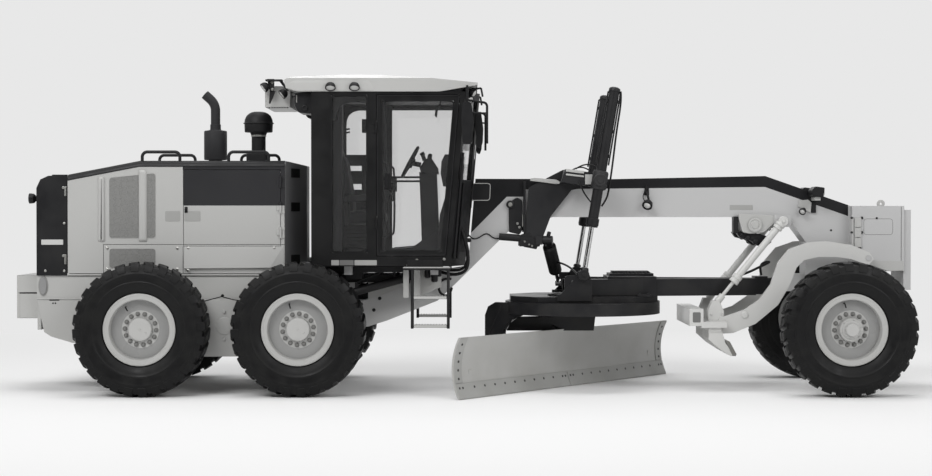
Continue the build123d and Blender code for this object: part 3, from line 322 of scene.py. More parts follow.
LENS = lamp_glass()
SEAT_CLOTH = seat_weave()


# ---- making shapes --------------------------------------------------------------------------
ACROSS = {"x": (Vector((0, 1, 0)), UP, AHEAD), "y": (AHEAD, UP, Vector((0, 1, 0))),
    "z": (AHEAD, Vector((0, 1, 0)), UP)}


def square_to(direction):
    """Two unit vectors square to a direction and to each other."""
    helper = UP if abs(direction.z) < 0.9 else AHEAD
    first = direction.cross(helper).normalized()
    return first, direction.cross(first).normalized()


class Work:
    """Closed shapes gathered into one piece."""

    def __init__(self):
        self.mesh = bmesh.new()

    def skin(self, rings, wrap=False):
        """Rings of equally many points joined side by side; wrap joins the last to the first too."""
        made = [[self.mesh.verts.new(p) for p in ring] for ring in rings]
        count = len(made[0])
        for low, high in zip(made, made[1:] + (made[:1] if wrap else [])):
            for i in range(count):
                j = (i + 1) % count
                self.mesh.faces.new((low[i], low[j], high[j], high[i]))
        return made

    def loft(self, rings):
        """A skin over rings, with both ends closed."""
        made = self.skin(rings)
        self.mesh.faces.new(made[0][::-1])
        self.mesh.faces.new(made[-1])
        return self

    def ribs(self, outline, stations):
        """An (x, z) outline carried through several stations across the machine."""
        return self.loft([[at(x, y, z) for x, z in outline] for y in stations])

    def block(self, x0, x1, y0, y1, z0, z1):
        """A plain box, whichever of y0 and y1 is the lower."""
        low, high = sorted((y0, y1))
        ring = [(x0, low), (x1, low), (x1, high), (x0, high)]
        return self.loft([[at(x, y, z) for x, y in ring] for z in (z0, z1)])

    def plate(self, outline, start, end, axis="y"):
        """An outline of (x, z), or (y, z) for axis x, or (x, y) for z, carried from start to end."""
        across, up, out = ACROSS[axis]
        origin = at(0, 0, 0)
        return self.loft([[origin + across * a + up * b + out * d for a, b in outline]
            for d in (start, end)])

    def laid(self, outline, face, side, sunk, proud):
        """A plate on a side face, sunk in it and standing proud of it by two distances."""
        return self.plate(outline, face - side * sunk, face + side * proud)

    def turned(self, profile, centre, direction, steps=32):
        """A (radius, along) profile turned about a direction from centre; radius 0 closes an end."""
        first, second = square_to(direction)
        rings = []
        for radius, along in profile:
            middle = centre + direction * along
            if radius <= 0:
                rings.append([self.mesh.verts.new(middle)])
                continue
            rings.append([self.mesh.verts.new(middle + (first * cos(a) + second * sin(a)) * radius)
                for a in around(steps)])
        for low, high in zip(rings, rings[1:]):
            for i in range(steps):
                j = (i + 1) % steps
                corners = [low[i % len(low)], low[j % len(low)], high[j % len(high)], high[i % len(high)]]
                face = list(dict.fromkeys(corners))
                if len(face) > 2:
                    self.mesh.faces.new(face)
        return self

    def button(self, sizes, place, out, steps):
        """A round head on a face: radius and height, then the radius and height of its smaller top."""
        radius, height, *top = sizes
        profile = [(0, 0), (radius, 0), (radius, height)] + ([tuple(top)] if top else [])
        return self.turned(profile + [(0, profile[-1][1])], place, out, steps)

    def rod(self, start, end, radius, steps=16):
        """A round bar from start to end."""
        run = end - start
        return self.button((radius, run.length), start, run.normalized(), steps)

    def bolt(self, place, out, across=0.024, height=0.012):
        """A hexagon head on its washer, standing out of a face."""
        self.button((across * 0.72, 0.003), place, out, 14)
        return self.turned([(0, 0.002), (across * 0.577, 0.002), (across * 0.577, height * 0.8),
            (across * 0.5, height), (0, height)], place, out, 6)

    def piece(self, name, material, body="front_frame", bevel=0, smooth=40):
        """The shapes as one object that moves with a body."""
        bmesh.ops.recalc_face_normals(self.mesh, faces=self.mesh.faces)
        data = bpy.data.meshes.new(name)
        self.mesh.to_mesh(data)
        self.mesh.free()
        made = bpy.data.objects.new(name, data)
        bpy.context.scene.collection.objects.link(made)
        data.materials.append(material)
        if bevel:
            edge = made.modifiers.new("edges", "BEVEL")
            edge.width, edge.segments, edge.limit_method, edge.angle_limit = bevel, 2, "ANGLE", radians(35)
        data.polygons.foreach_set("use_smooth", [True] * len(data.polygons))
        data.set_sharp_from_angle(angle=radians(smooth))
        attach(made, body)
        return made


SPLINE_ORDER = 3


def hose(name, points, radius, body, material=None):
    """A round tube along a smooth line near the points, of rubber unless said."""
    data = bpy.data.curves.new(name, "CURVE")
    data.dimensions, data.bevel_depth, data.bevel_resolution = "3D", radius, 3
    data.resolution_u, data.use_fill_caps = 8, True
    line = data.splines.new("NURBS")
    line.points.add(len(points) - 1)
    for point, place in zip(line.points, points):
        point.co = (*place, 1)
    line.order_u, line.use_endpoint_u = SPLINE_ORDER, True
    data.materials.append(material or HOSE_RUBBER)
    made = bpy.data.objects.new(name, data)
    bpy.context.scene.collection.objects.link(made)
    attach(made, body)
    return made


def spline_length(points):
    """Length of the smooth line that hose() lays near the points."""
    count, degree = len(points), SPLINE_ORDER - 1
    knots = [0] * degree + list(range(count - degree + 1)) + [count - degree] * degree

    def place(t):
        """The spot at t, by blending its nearest points level by level."""
        low = max(k for k in range(degree, count) if knots[k] <= t)
        work = [Vector(points[k]) for k in range(low - degree, low + 1)]
        for level in range(1, degree + 1):
            for j in range(degree, level - 1, -1):
                i = low - degree + j
                share = (t - knots[i]) / (knots[i + degree - level + 1] - knots[i])
                work[j] = work[j - 1] * (1 - share) + work[j] * share
        return work[degree]

    spots = [place((count - degree) * k / 200) for k in range(201)]
    return sum((b - a).length for a, b in zip(spots, spots[1:]))


def cord(name, points, radius, body="front_frame"):
    """A hose or lead whose two ends both go into the machine."""
    made = hose(name, points, radius, body)
    spline_length(points)


# ---- camera, floor and light ----------------------------------------------------------------
BACKDROP = "e8e8e8"
CAMERA_PLACE = (0.0508, -18.4289, 1.7762)
CAMERA_DOWN, CAMERA_LEFT = 0.7386, 0.1336      # degrees away from straight across the machine
SENSOR_MM, FOCAL_MM = 36, 68.58
FLOOR_R = 70
FLOOR_FADE = (3.2, 9.0)                        # where the floor turns into the backdrop's colour


def seen_by_eye(tree):
    """1 for what the camera sees straight, in a mirror or through glass."""
    path = add(tree, "LightPath")
    kinds = [path.outputs[word] for word in ("Is Camera Ray", "Is Glossy Ray", "Is Transmission Ray")]
    return either(tree, kinds)


def studio():
    """Camera, floor, dark cloth, sky and lamps."""
    scene = bpy.context.scene
    scene.view_settings.view_transform = "Standard"
    lens = bpy.data.cameras.new("side_camera")
    lens.sensor_width, lens.lens, lens.clip_end = SENSOR_MM, FOCAL_MM, 200
    camera = bpy.data.objects.new("side_camera", lens)
    camera.location = CAMERA_PLACE
    camera.rotation_euler = (radians(90 - CAMERA_DOWN), 0, radians(CAMERA_LEFT))
    scene.collection.objects.link(camera)
    scene.camera = camera

    # A round pale floor. Away from the machine it takes the plain colour of the backdrop for the
    # eye, for mirrors and for glass, and keeps its shadows near the wheels.
    disc = bmesh.new()
    bmesh.ops.create_circle(disc, cap_ends=True, segments=96, radius=FLOOR_R)
    floor_mesh = bpy.data.meshes.new("studio_floor")
    disc.to_mesh(floor_mesh)
    disc.free()
    floor = bpy.data.objects.new("studio_floor", floor_mesh)
    scene.collection.objects.link(floor)
    material, tree, shader = surface("studio_paper", "f9f9f9", 0.9, Specular_IOR_Level=0.15)
    split = add(tree, "SeparateXYZ", {0: place_of(tree)})
    across = math(tree, "MULTIPLY", split.outputs["X"], 0.5)
    flat = add(tree, "CombineXYZ", {0: across, 1: split.outputs["Y"]}).outputs[0]
    distance = add(tree, "VectorMath", {0: flat}, operation="LENGTH").outputs["Value"]
    away = spread(tree, distance, *FLOOR_FADE, 0.0, 1.0)
    plain = add(tree, "Emission", {"Color": linear(BACKDROP), "Strength": 1.0})
    blend = add(tree, "MixShader", {0: math(tree, "MULTIPLY", away, seen_by_eye(tree))})
    tree.links.new(shader.outputs[0], blend.inputs[1])
    tree.links.new(plain.outputs[0], blend.inputs[2])
    tree.links.new(blend.outputs[0], tree.nodes["Material Output"].inputs["Surface"])
    floor_mesh.materials.append(material)

    # A dark cloth behind the camera, for gloss to mirror: it keeps the black paint deep.
    cloth_mesh = bpy.data.meshes.new("studio_cloth")
    cloth_mesh.from_pydata([(-45, -26, -1), (45, -26, -1), (45, -26, 16), (-45, -26, 16)], [],
        [(3, 2, 1, 0)])
    cloth_mesh.materials.append(surface("studio_cloth", "1c1c1c", 1.0)[0])
    cloth = bpy.data.objects.new("studio_cloth", cloth_mesh)
    cloth.visible_camera = cloth.visible_diffuse = cloth.visible_transmission = cloth.visible_shadow = False
    scene.collection.objects.link(cloth)

    world = bpy.data.worlds.new("studio")
    scene.world = world
    world.use_nodes = True
    tree = world.node_tree
    sky = tree.nodes["Background"]
    sky.inputs["Color"].default_value = linear(BACKDROP)
    tree.links.new(spread(tree, seen_by_eye(tree), 0.0, 1.0, 0.50, 1.0), sky.inputs["Strength"])

    lamps = (                      # name, place, aimed at, width, height, watts
        ("key_panel", (-9.0, -15.5, 14.5), (0, 0, 1.0), 12, 7, 1930),
        ("fill_panel", (12.0, -16.0, 9.5), (0.8, 0, 1.0), 10, 7, 940),
        ("top_panel", (0, 0.5, 20), (0, 0, 0), 14, 8, 1120),
        ("back_panel", (2.0, 15.0, 9.5), (0, 0, 1.0), 14, 6, 420),
    )
    for name, place, aim, wide, high, watts in lamps:
        lamp = bpy.data.lights.new(name, "AREA")
        lamp.shape, lamp.size, lamp.size_y, lamp.energy = "RECTANGLE", wide, high, watts
        holder = bpy.data.objects.new(name, lamp)
        holder.location = place
        holder.rotation_euler = (Vector(aim) - Vector(place)).to_track_quat("-Z", "Y").to_euler()
        holder.visible_camera = False
        scene.collection.objects.link(holder)


# ---- wheels ---------------------------------------------------------------------------------
TYRE_R = 0.66
TREAD_DEPTH = 0.026
RIM_OUT = 0.145             # the wheel's centre plane to the outer edge of its rim
DISC_IN = 0.09              # that edge back to the wheel disc
LUGS = 28
WHEELS = [(f"{end}_{word}", x, side) for end, x in (("rear", -0.77), ("middle", 0.77), ("front", WHEELBASE))
    for word, side in SIDES]


def tyre(name, x, side):
    """Carcass turned from its section, with a ring of staggered lugs that run over the shoulders."""
    centre, out = at(x, side * TRACK_HALF, AXLE_Z), sideways(side)
    base = TYRE_R - TREAD_DEPTH
    half = [                                     # radius, outward: bead to crown on one side
        (0.306, 0.127), (0.352, 0.128), (0.362, 0.136), (0.366, 0.150), (0.392, 0.166),
        (0.432, 0.181), (0.452, 0.184), (0.458, 0.189), (0.466, 0.189), (0.474, 0.185),
        (0.505, 0.188), (0.535, 0.188), (0.541, 0.1905), (0.548, 0.1905), (0.555, 0.187),
        (0.590, 0.181), (base - 0.016, 0.172), (base - 0.004, 0.156), (base, 0.120), (base, 0.05),
    ]
    profile = half + [(r, -y) for r, y in half[::-1]]
    work = Work()
    work.turned(profile + [half[0]], centre, out, 84)
    # how far from the wheel's centre plane, angle lead, radius: one lug from groove to wall
    stations = ((0.012, 0.072, TYRE_R), (0.075, 0.050, TYRE_R), (0.130, 0.018, TYRE_R - 0.003),
        (0.160, 0.0, TYRE_R - 0.012), (0.1795, 0.0, TYRE_R - 0.046), (0.1885, 0.0, TYRE_R - 0.088))
    for row in (1, -1):
        for i in range(LUGS):
            middle = 2 * pi * (i + 0.25 * row) / LUGS
            rings = []
            for k, (y, lead, radius) in enumerate(stations):
                wide = 0.040 if k < 3 else 0.043
                foot = radius - (TREAD_DEPTH + 0.012 if k < 4 else 0.02)
                inward = y if k < 4 else y - 0.018
                ring = []
                for r, reach, flank in ((foot, inward, -1.15), (radius, y, -1), (radius, y, 1),
                        (foot, inward, 1.15)):
                    a = middle + lead * row + flank * wide / TYRE_R
                    ring.append(centre + (AHEAD * cos(a) + UP * sin(a)) * r + out * row * reach)
                rings.append(ring)
            work.loft(rings)
    made = work.piece("visual_tyre_" + name, TYRE_RUBBER, "wheel_" + name, smooth=32)
    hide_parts("tyre_" + name)


def wheel_fittings(name, x, side):
    """Nuts, cap, bead lock and valve of one rim."""
    out = sideways(side)
    disc = at(x, side * (TRACK_HALF + RIM_OUT - DISC_IN), AXLE_Z)
    turn = {"rear": 0.4, "middle": 0.15, "front": 0.05}[name.split("_")[0]]
    work = Work()
    for a in around(14, turn):
        place = disc + Vector((cos(a), 0, sin(a))) * 0.153
        work.turned([(0, 0), (0.024, 0), (0.024, 0.004), (0.0185, 0.005), (0.0185, 0.020), (0.014, 0.024),
            (0.011, 0.024), (0.011, 0.032), (0, 0.032)], place, out, 12)
    work.piece("wheel_nuts_" + name, NUT_PAINT, "wheel_" + name)
    cap = Work()
    cap.turned([(0.10, -0.001), (0.186, -0.001), (0.184, 0.003), (0.10, 0.003), (0.10, -0.001)], disc, out,
        48)
    if name.startswith("front"):
        face = disc + out * 0.078
        cap.turned([(0, -0.002), (0.092, -0.002), (0.088, 0.006), (0.07, 0.010), (0.066, 0.050),
            (0.058, 0.058), (0, 0.060)], face, out, 36)
        for a in around(6, 0.3):
            cap.bolt(face + Vector((cos(a), 0, sin(a))) * 0.101 - out * 0.001, out, 0.014, 0.008)
    else:
        face = disc + out * 0.042
        cap.turned([(0, -0.001), (0.112, -0.001), (0.110, 0.005), (0.104, 0.007), (0, 0.008)], face, out,
            40)
        cap.turned([(0, 0.007), (0.009, 0.007), (0.009, 0.013), (0, 0.013)], face, out, 12)
        cap.turned([(0, 0.006), (0.006, 0.006), (0.006, 0.011), (0, 0.011)],
            face + Vector((0.06, 0, -0.03)), out, 10)
    cap.piece("hub_cap_" + name, HUB_PAINT, "wheel_" + name, bevel=0.0015)
    lock = Work()
    edge = at(x, side * (TRACK_HALF + RIM_OUT), AXLE_Z)
    lock.turned([(0.298, -0.014), (0.306, -0.002), (0.330, -0.001), (0.334, 0.003), (0.346, 0.003),
        (0.354, -0.004), (0.3535, -0.012), (0.3525, -0.016), (0.298, -0.014)], edge, out, 72)
    lock.turned([(0.2885, -0.088), (0.2885, -0.030), (0.294, -0.012), (0.3005, -0.0125), (0.297, -0.034),
        (0.2925, -0.088), (0.2885, -0.088)], edge, out, 72)
    lock.piece("bead_ring_" + name, RIM_PAINT, "wheel_" + name)
    a = turn + 1.75
    radial = Vector((cos(a), 0, sin(a)))
    foot = disc + radial * 0.262
    hose("valve_stem_" + name, [foot, foot + out * 0.03, foot + out * 0.045 - radial * 0.012,
        foot + out * 0.052 - radial * 0.045], 0.0065, "wheel_" + name)


studio()
for wheel in WHEELS:
    tyre(*wheel)
    wheel_fittings(*wheel)


# ---- hood, cowl and what stands on them -----------------------------------------------------
HOOD_HALF = 0.57
HOOD_TOP = 2.322
HOOD_ROOF = ((-1.606, 2.182), (-0.881, HOOD_TOP), (0.592, HOOD_TOP), (0.770, 2.282))


def roof_height(x):
    """Height of the hood's roof line at x."""
    for (x0, z0), (x1, z1) in zip(HOOD_ROOF, HOOD_ROOF[1:]):
        if x <= x1:
            return z0 + (z1 - z0) * (x - x0) / (x1 - x0)
    return HOOD_ROOF[-1][1]


def rounded_outline(corners, radius, steps=4):
    """Corners of a flat outline, each cut back to an arc."""
    made = []
    count = len(corners)
    for i, corner in enumerate(corners):
        point = Vector(corner)
        before = (Vector(corners[i - 1]) - point).normalized()
        after = (Vector(corners[(i + 1) % count]) - point).normalized()
        for k in range(steps + 1):
            t = k / steps
            made.append(tuple(point + before * radius * (1 - t) ** 2 + after * radius * t ** 2))
    return made


def panel(x0, x1, z0, z1, radius, steps=4):
    """The outline of a plate with rounded corners."""
    return rounded_outline([(x0, z0), (x1, z0), (x1, z1), (x0, z1)], radius, steps)


def vent_steel(hole):
    """Perforated, painted sheet: round holes on a triangular grid, with painted shade where they go
    through.
    """
    material, tree, shader = surface("perforated_sheet", "909090", 0.45)
    place = place_of(tree)
    holes = add(tree, "TexVoronoi", {"Vector": place, "Scale": 1 / hole,
        "Randomness": 0.15}).outputs["Distance"]
    open_part = spread(tree, holes, 0.34, 0.40, 1.0, 0.0)
    # The holes are painted a darker grey: painted shade seen through the sheet.
    tree.links.new(shade(tree, open_part, linear("828280"), linear("565655")), shader.inputs["Base Color"])
    rounded(tree, shader, 0.002, open_part, -0.5, 0.002)
    return material


def hood_side(word, side):
    """Ribs, vents, seams, trim and fastenings of one side of the engine hood."""
    y = side * HOOD_HALF
    out = sideways(side)

    ribs = Work()
    for x0, x1, z0, z1 in ((-1.293, -1.224, 1.51, 2.165), (-0.884, -0.800, 1.51, 2.235)):
        rings = []
        for inset, rise in ((0.0, -0.004), (0.0, 0.004), (0.007, 0.016), (0.018, 0.024), (0.028, 0.026)):
            lean = 0.30 * (x1 - x0)
            corners = [(x0 + inset, z0 + inset), (x1 - inset, z0 + inset), (x1 - inset, z1 - lean - inset),
                (x1 - lean, z1 - inset), (x0 + inset, z1 - inset)]
            rings.append([at(a, y + side * rise, b) for a, b in rounded_outline(corners, 0.012, 3)])
        ribs.loft(rings)
    ribs.piece("hood_ribs_" + word, LIGHT_PAINT, "rear_frame", smooth=60)

    vents, frames = Work(), Work()
    upper = [(-1.179, 1.546), (-0.717, 1.546), (-0.717, 2.197), (-1.179, 2.150)]
    lower = [(-1.179, 1.243), (-0.717, 1.243), (-0.717, 1.437), (-1.179, 1.437)]
    for corners in (upper, lower):
        outline = rounded_outline(corners, 0.03)
        vents.laid(outline, y, side, 0.002, 0.0015)
        middle = Vector((sum(a for a, _ in corners) / 4, sum(b for _, b in corners) / 4))
        wider = [tuple(Vector(p) + (Vector(p) - middle).normalized() * 0.006) for p in outline]
        frames.skin([[at(a, y + side * rise, b) for a, b in ring] for ring, rise in ((wider, 0.0),
            (wider, 0.003), (outline, 0.003), (outline, 0.0))], wrap=True)
    vents.piece("hood_vents_" + word, VENT_STEEL, "rear_frame")
    frames.piece("hood_vent_frames_" + word, LIGHT_PAINT, "rear_frame")

    seams = Work()
    for x0, x1, z0, z1 in ((-1.242, -1.238, 1.190, 1.481), (-1.242, 0.585, 1.4785, 1.4825),
            (-0.4405, -0.4365, 1.190, 1.461), (-0.4405, -0.4365, 2.235, 2.285),
            (-1.585, 0.700, 1.184, 1.190), (0.583, 0.587, 1.190, 2.285)):
        seams.block(x0, x1, y, y + side * 0.0012, z0, z1)
    seams.piece("hood_seams_" + word, SEAM_BLACK, "rear_frame")

    trim = Work()
    rings = []
    for x in (-1.600, -1.30, -0.881, -0.2, 0.585):
        z = roof_height(x) - 0.004
        rings.append([at(x, y + side * d, z + rise) for d, rise in ((-0.060, 0.007), (-0.040, 0.005),
            (-0.020, -0.006), (-0.005, -0.022), (0.005, -0.046), (0.005, -0.056), (-0.004, -0.058),
            (-0.04, -0.04))])
    trim.loft(rings)
    trim.piece("hood_edge_trim_" + word, BLACK_PAINT, "rear_frame", bevel=0.002)

    # A panel pressed outwards along its foot, from five corners at the skin and five that stand proud.
    fold = Work()
    foot = ((-0.425, -0.001, 1.462), (0.575, -0.001, 1.462), (0.575, -0.001, 1.270), (0.435, -0.001, 1.245),
        (-0.425, -0.001, 1.235))
    proud = ((-0.425, 0.002, 1.462), (0.572, 0.002, 1.462), (0.572, 0.003, 1.272), (0.437, 0.036, 1.247),
        (-0.425, 0.036, 1.240), (-0.425, 0.030, 1.283))
    low, high = ([fold.mesh.verts.new(at(a, y + side * rise, b)) for a, rise, b in spots]
        for spots in (foot, proud))
    crest = high.pop()
    for i in range(4):
        fold.mesh.faces.new((low[i], low[i + 1], high[i + 1], high[i]))
    for face in ((low[4], low[0], high[0], crest, high[4]), low[::-1], (high[0], high[1], crest),
            (high[1], high[3], high[4], crest), (high[1], high[2], high[3])):
        fold.mesh.faces.new(face)
    fold.piece("hood_folded_panel_" + word, LIGHT_PAINT, "rear_frame", bevel=0.003, smooth=12)

    screws = Work()
    for x, lift, z in ((-1.203, 0.002, 1.444), (-0.496, 0.002, 1.444), (-1.203, 0.002, 1.232),
            (-0.496, 0.002, 1.232), (-0.385, 0.002, 1.444), (0.480, 0.002, 1.444), (-0.385, 0.026, 1.222)):
        screws.turned([(0, -0.004), (0.016, -0.004), (0.016, 0.002), (0.010, 0.006), (0, 0.006)],
            at(x, y + side * lift, z), out, 12)
    screws.piece("hood_screws_" + word, ZINC, "rear_frame")

    # Hinge plates on the slanting front corner of the hood.
    corner = Work()
    start, way = Vector((0.592, 0.571)), Vector((0.181, -0.431)).normalized()
    thick = Vector((-way.y, way.x)) * 0.004
    for z in (2.202, 1.860, 1.328):
        ring = [start + way * 0.12, start + way * 0.30, start + way * 0.30 + thick,
            start + way * 0.12 + thick]
        corner.loft([[at(p.x, side * p.y, z + rise) for p in ring] for rise in (-0.045, 0.045)])
    corner.piece("hood_corner_hinges_" + word, SEAM_BLACK, "rear_frame", bevel=0.001)

    for x0, x1, body in ((-0.617, -0.467, "rear_frame"), (-0.425, -0.263, "hood_door_" + word)):
        plain = Work()
        plain.laid(panel(x0, x1, 1.713, 1.817, 0.012, 3), y, side, 0.001, 0.0012)
        plain.piece(f"hood_plate_{body[:4]}_{word}", SOFT_GREY, body)

    latch = Work()
    latch.block(-0.422, -0.392, y, y + side * 0.008, 1.80, 1.86)
    latch.button((0.016, 0.007, 0.012, 0.010), at(-0.407, y + side * 0.006, 1.83), out, 20)
    latch.piece("hood_door_latch_" + word, BLACK_PLASTIC, "hood_door_" + word, bevel=0.002)


DOOR_FACE = -1.9145         # outside of the rear door


def cowl_details():
    """Latches, plates, lamps and bolts of the rear cowl and its door."""
    for word, side in SIDES:
        y, out = side * HOOD_HALF, sideways(side)
        latch = Work()
        for z in (2.02, 1.335):
            latch.block(-1.632, -1.612, y - side * 0.002, y + side * 0.012, z - 0.052, z + 0.045)
            latch.button((0.014, 0.010, 0.010, 0.014), at(-1.642, y + side * 0.001, z + 0.032), out, 16)
            latch.rod(at(-1.622, y + side * 0.018, z - 0.05), at(-1.622, y + side * 0.018, z + 0.04), 0.006)
        for x, z in ((-1.635, 1.695), (-1.825, 1.215), (-1.635, 1.215)):
            latch.button((0.013, 0.006, 0.008, 0.009), at(x, y, z), out, 14)
        latch.piece("cowl_latches_" + word, ZINC, "rear_frame", bevel=0.0015)
        plate = Work()
        plate.laid(panel(-1.866, -1.646, 1.478, 1.530, 0.004, 2), y, side, 0.001, 0.0015)
        plate.piece("cowl_plate_" + word, PLATE_GREY, "rear_frame")
        seam = Work()
        seam.block(-1.608, -1.600, y - side * 0.001, y + side * 0.0012, 1.190, 2.168)
        seam.piece("cowl_seam_" + word, SEAM_BLACK, "rear_frame")
        lamp_arm, glass = Work(), Work()
        face = -1.915
        lamp_arm.block(face - 0.05, face + 0.002, side * 0.415, side * 0.445, 1.93, 1.96)
        lamp_arm.turned([(0, 0), (0.030, 0), (0.048, 0.018), (0.052, 0.05), (0.052, 0.066), (0.046, 0.066),
            (0.044, 0.06), (0, 0.06)], at(face - 0.038, side * 0.43, 1.945), BACK, 28)
        lamp_arm.piece("rear_work_lamp_" + word, BLACK_PLASTIC, "rear_door", bevel=0.0015)
        glass.turned([(0, 0), (0.044, 0), (0.038, 0.004), (0.02, 0.007), (0, 0.008)],
            at(face - 0.097, side * 0.43, 1.945), BACK, 28)
        glass.piece("rear_work_lens_" + word, LENS, "rear_door", smooth=60)

    top = Work()
    top.block(-1.775, -1.620, -0.50, 0.50, 2.160, 2.186)
    top.piece("cowl_top_strip", BLACK_PAINT, "rear_frame", bevel=0.006)

    # The rear door: pressed panel with a grille of slats, a handle and two locks.
    slats = Work()
    for i in range(15):
        z = 1.36 + i * 0.040
        slats.loft([[at(-1.916, y, z), at(-1.916, y, z + 0.022), at(-1.930, y, z + 0.010),
            at(-1.930, y, z + 0.004)] for y in (-0.40, 0.40)])
    for y0, y1, z0, z1 in ((-0.43, -0.40, 1.33, 1.96), (0.40, 0.43, 1.33, 1.96),
            (-0.43, 0.43, 1.325, 1.352), (-0.43, 0.43, 1.945, 1.972), (-0.012, 0.012, 1.352, 1.945)):
        slats.block(-1.924, DOOR_FACE, y0, y1, z0, z1)
    slats.piece("rear_door_grille", BLACK_PAINT, "rear_door", bevel=0.0015)
    handle = Work()
    handle.block(-1.927, DOOR_FACE, -0.475, -0.445, 1.60, 1.72)
    for z in (1.75, 1.57):
        handle.button((0.018, 0.01, 0.012, 0.014), at(DOOR_FACE, -0.46, z), BACK, 20)
    handle.piece("rear_door_handle", ZINC, "rear_door", bevel=0.003)


def exhaust():
    """Muffler with rolled ends and a bent outlet cut level with its slant."""
    x, bend, tip = -0.191, 0.16, radians(48)
    work = Work()
    work.turned([(0, 0), (0.070, 0), (0.070, 0.022), (0.112, 0.026), (0.1185, 0.032), (0.1185, 0.318),
        (0.112, 0.328), (0.080, 0.332), (0.058, 0.338), (0.055, 0.350), (0.055, 0.392), (0.052, 0.394),
        (0.040, 0.394), (0, 0.394)], at(x, 0, HOOD_TOP), UP, 48)
    path = [(Vector((x, 0, HOOD_TOP + rise)), 0.0) for rise in (0.35, 0.45)]
    for k in range(13):
        angle = tip * (k / 12)
        path.append((Vector((x - bend * (1 - cos(angle)), 0, HOOD_TOP + 0.535 + bend * sin(angle))), angle))
    path.append((path[-1][0] + Vector((-sin(tip), 0, cos(tip))) * 0.075, tip))
    rings = []
    for stations, radius in ((path, 0.0485), (path[::-1][:7], 0.0445)):
        for point, angle in stations:
            across = Vector((cos(angle), 0, sin(angle)))
            rings.append([at(*(point + (across * cos(a) + sideways(1) * sin(a)) * radius))
                for a in around(28)])
    work.loft(rings)
    made = work.piece("visual_exhaust", HEAT_BLACK, "rear_frame", smooth=50)
    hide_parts("exhaust_stack")


def air_cleaner():
    """Spun bowl of the engine's air pre-cleaner over its pipe and cast foot."""
    x, y, foot = 0.268, -0.10, HOOD_TOP
    bowl = Work()
    bowl.turned([(0.090, 0.306), (0.1395, 0.308), (0.1435, 0.314), (0.1465, 0.392), (0.1565, 0.396),
        (0.1565, 0.404), (0.1465, 0.408), (0.142, 0.440), (0.124, 0.478), (0.096, 0.502), (0.072, 0.514),
        (0.045, 0.520), (0, 0.522)], at(x, y, foot), UP, 56)
    bowl.turned([(0.0725, 0.085), (0.0725, 0.262), (0.078, 0.266), (0.078, 0.282), (0.088, 0.306),
        (0, 0.306)], at(x, y, foot), UP, 40)
    foot_piece = Work()
    foot_piece.plate(panel(0.150, 0.367, -0.208, 0.008, 0.03), foot - 0.002, foot + 0.088, "z")
    foot_piece.plate(panel(0.170, 0.350, -0.19, -0.01, 0.04), foot + 0.086, foot + 0.104, "z")
    made = bowl.piece("visual_pre_cleaner", BLACK_PLASTIC, "rear_frame", bevel=0.002, smooth=50)
    foot_piece.piece("pre_cleaner_foot", BLACK_PAINT, "rear_frame", bevel=0.006)
    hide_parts("pre_cleaner")
    ring = Work()
    ring.turned([(0.0728, 0.262), (0.0785, 0.262), (0.0785, 0.280), (0.0728, 0.280), (0.0728, 0.262)],
        at(x, y, foot), UP, 40)
    ring.block(x - 0.02, x + 0.02, y - 0.096, y - 0.074, foot + 0.262, foot + 0.280)
    ring.piece("pre_cleaner_band", ZINC, "rear_frame", bevel=0.001)


VENT_STEEL = vent_steel(0.012)
SEAM_BLACK = satin_black("seam_shadow", "0c0c0c", "141414", 0.8)
PLATE_GREY = enamel("plate_grey", base="c4c4c2", dusty="bcbcb9")
HEAT_BLACK = satin_black("heat_paint", "28282a", "3a3a39", 0.6)

for pair in SIDES:
    hood_side(*pair)
cowl_details()
exhaust()
air_cleaner()


# ---- cab ------------------------------------------------------------------------------------
CAB_SIDE = 0.75
CAB_FLOOR = 1.266
DOOR_BACK, DOOR_FRONT = 1.515, 2.204
DOOR_SILL, DOOR_HEAD = 1.365, 2.979


def slant(z):
    """How far the cab's front stands ahead at height z of where it stands at the floor."""
    return 0.149 * (z - CAB_FLOOR) / 1.74


def strip(work, outline, out, thick, depth, lift):
    """A band that follows a closed (x, z) outline on a side face: thick wide, standing depth out."""
    count = len(outline)
    middle = Vector((sum(a for a, _ in outline) / count, sum(b for _, b in outline) / count))
    rings = []
    for inset, rise in ((0, lift), (0, lift + depth), (thick, lift + depth), (thick, lift)):
        ring = []
        for i, corner in enumerate(outline):
            here = Vector(corner)
            before = (here - Vector(outline[i - 1])).normalized()
            after = (Vector(outline[(i + 1) % count]) - here).normalized()
            normal = (Vector((-before.y, before.x)) + Vector((-after.y, after.x))).normalized()
            if normal.dot(middle - here) < 0:
                normal = -normal
            spot = here + normal * inset
            ring.append(at(spot.x, out + (rise if out > 0 else -rise), spot.y))
        rings.append(ring)
    work.skin(rings, wrap=True)


def door_outline(inset):
    """The door's edge, set in all round."""
    z0, z1 = DOOR_SILL + inset, DOOR_HEAD - inset
    return [(DOOR_BACK + inset, z0), (DOOR_FRONT - inset + slant(z0), z0), (DOOR_FRONT - inset + slant(z1),
        z1), (DOOR_BACK + inset, z1)]


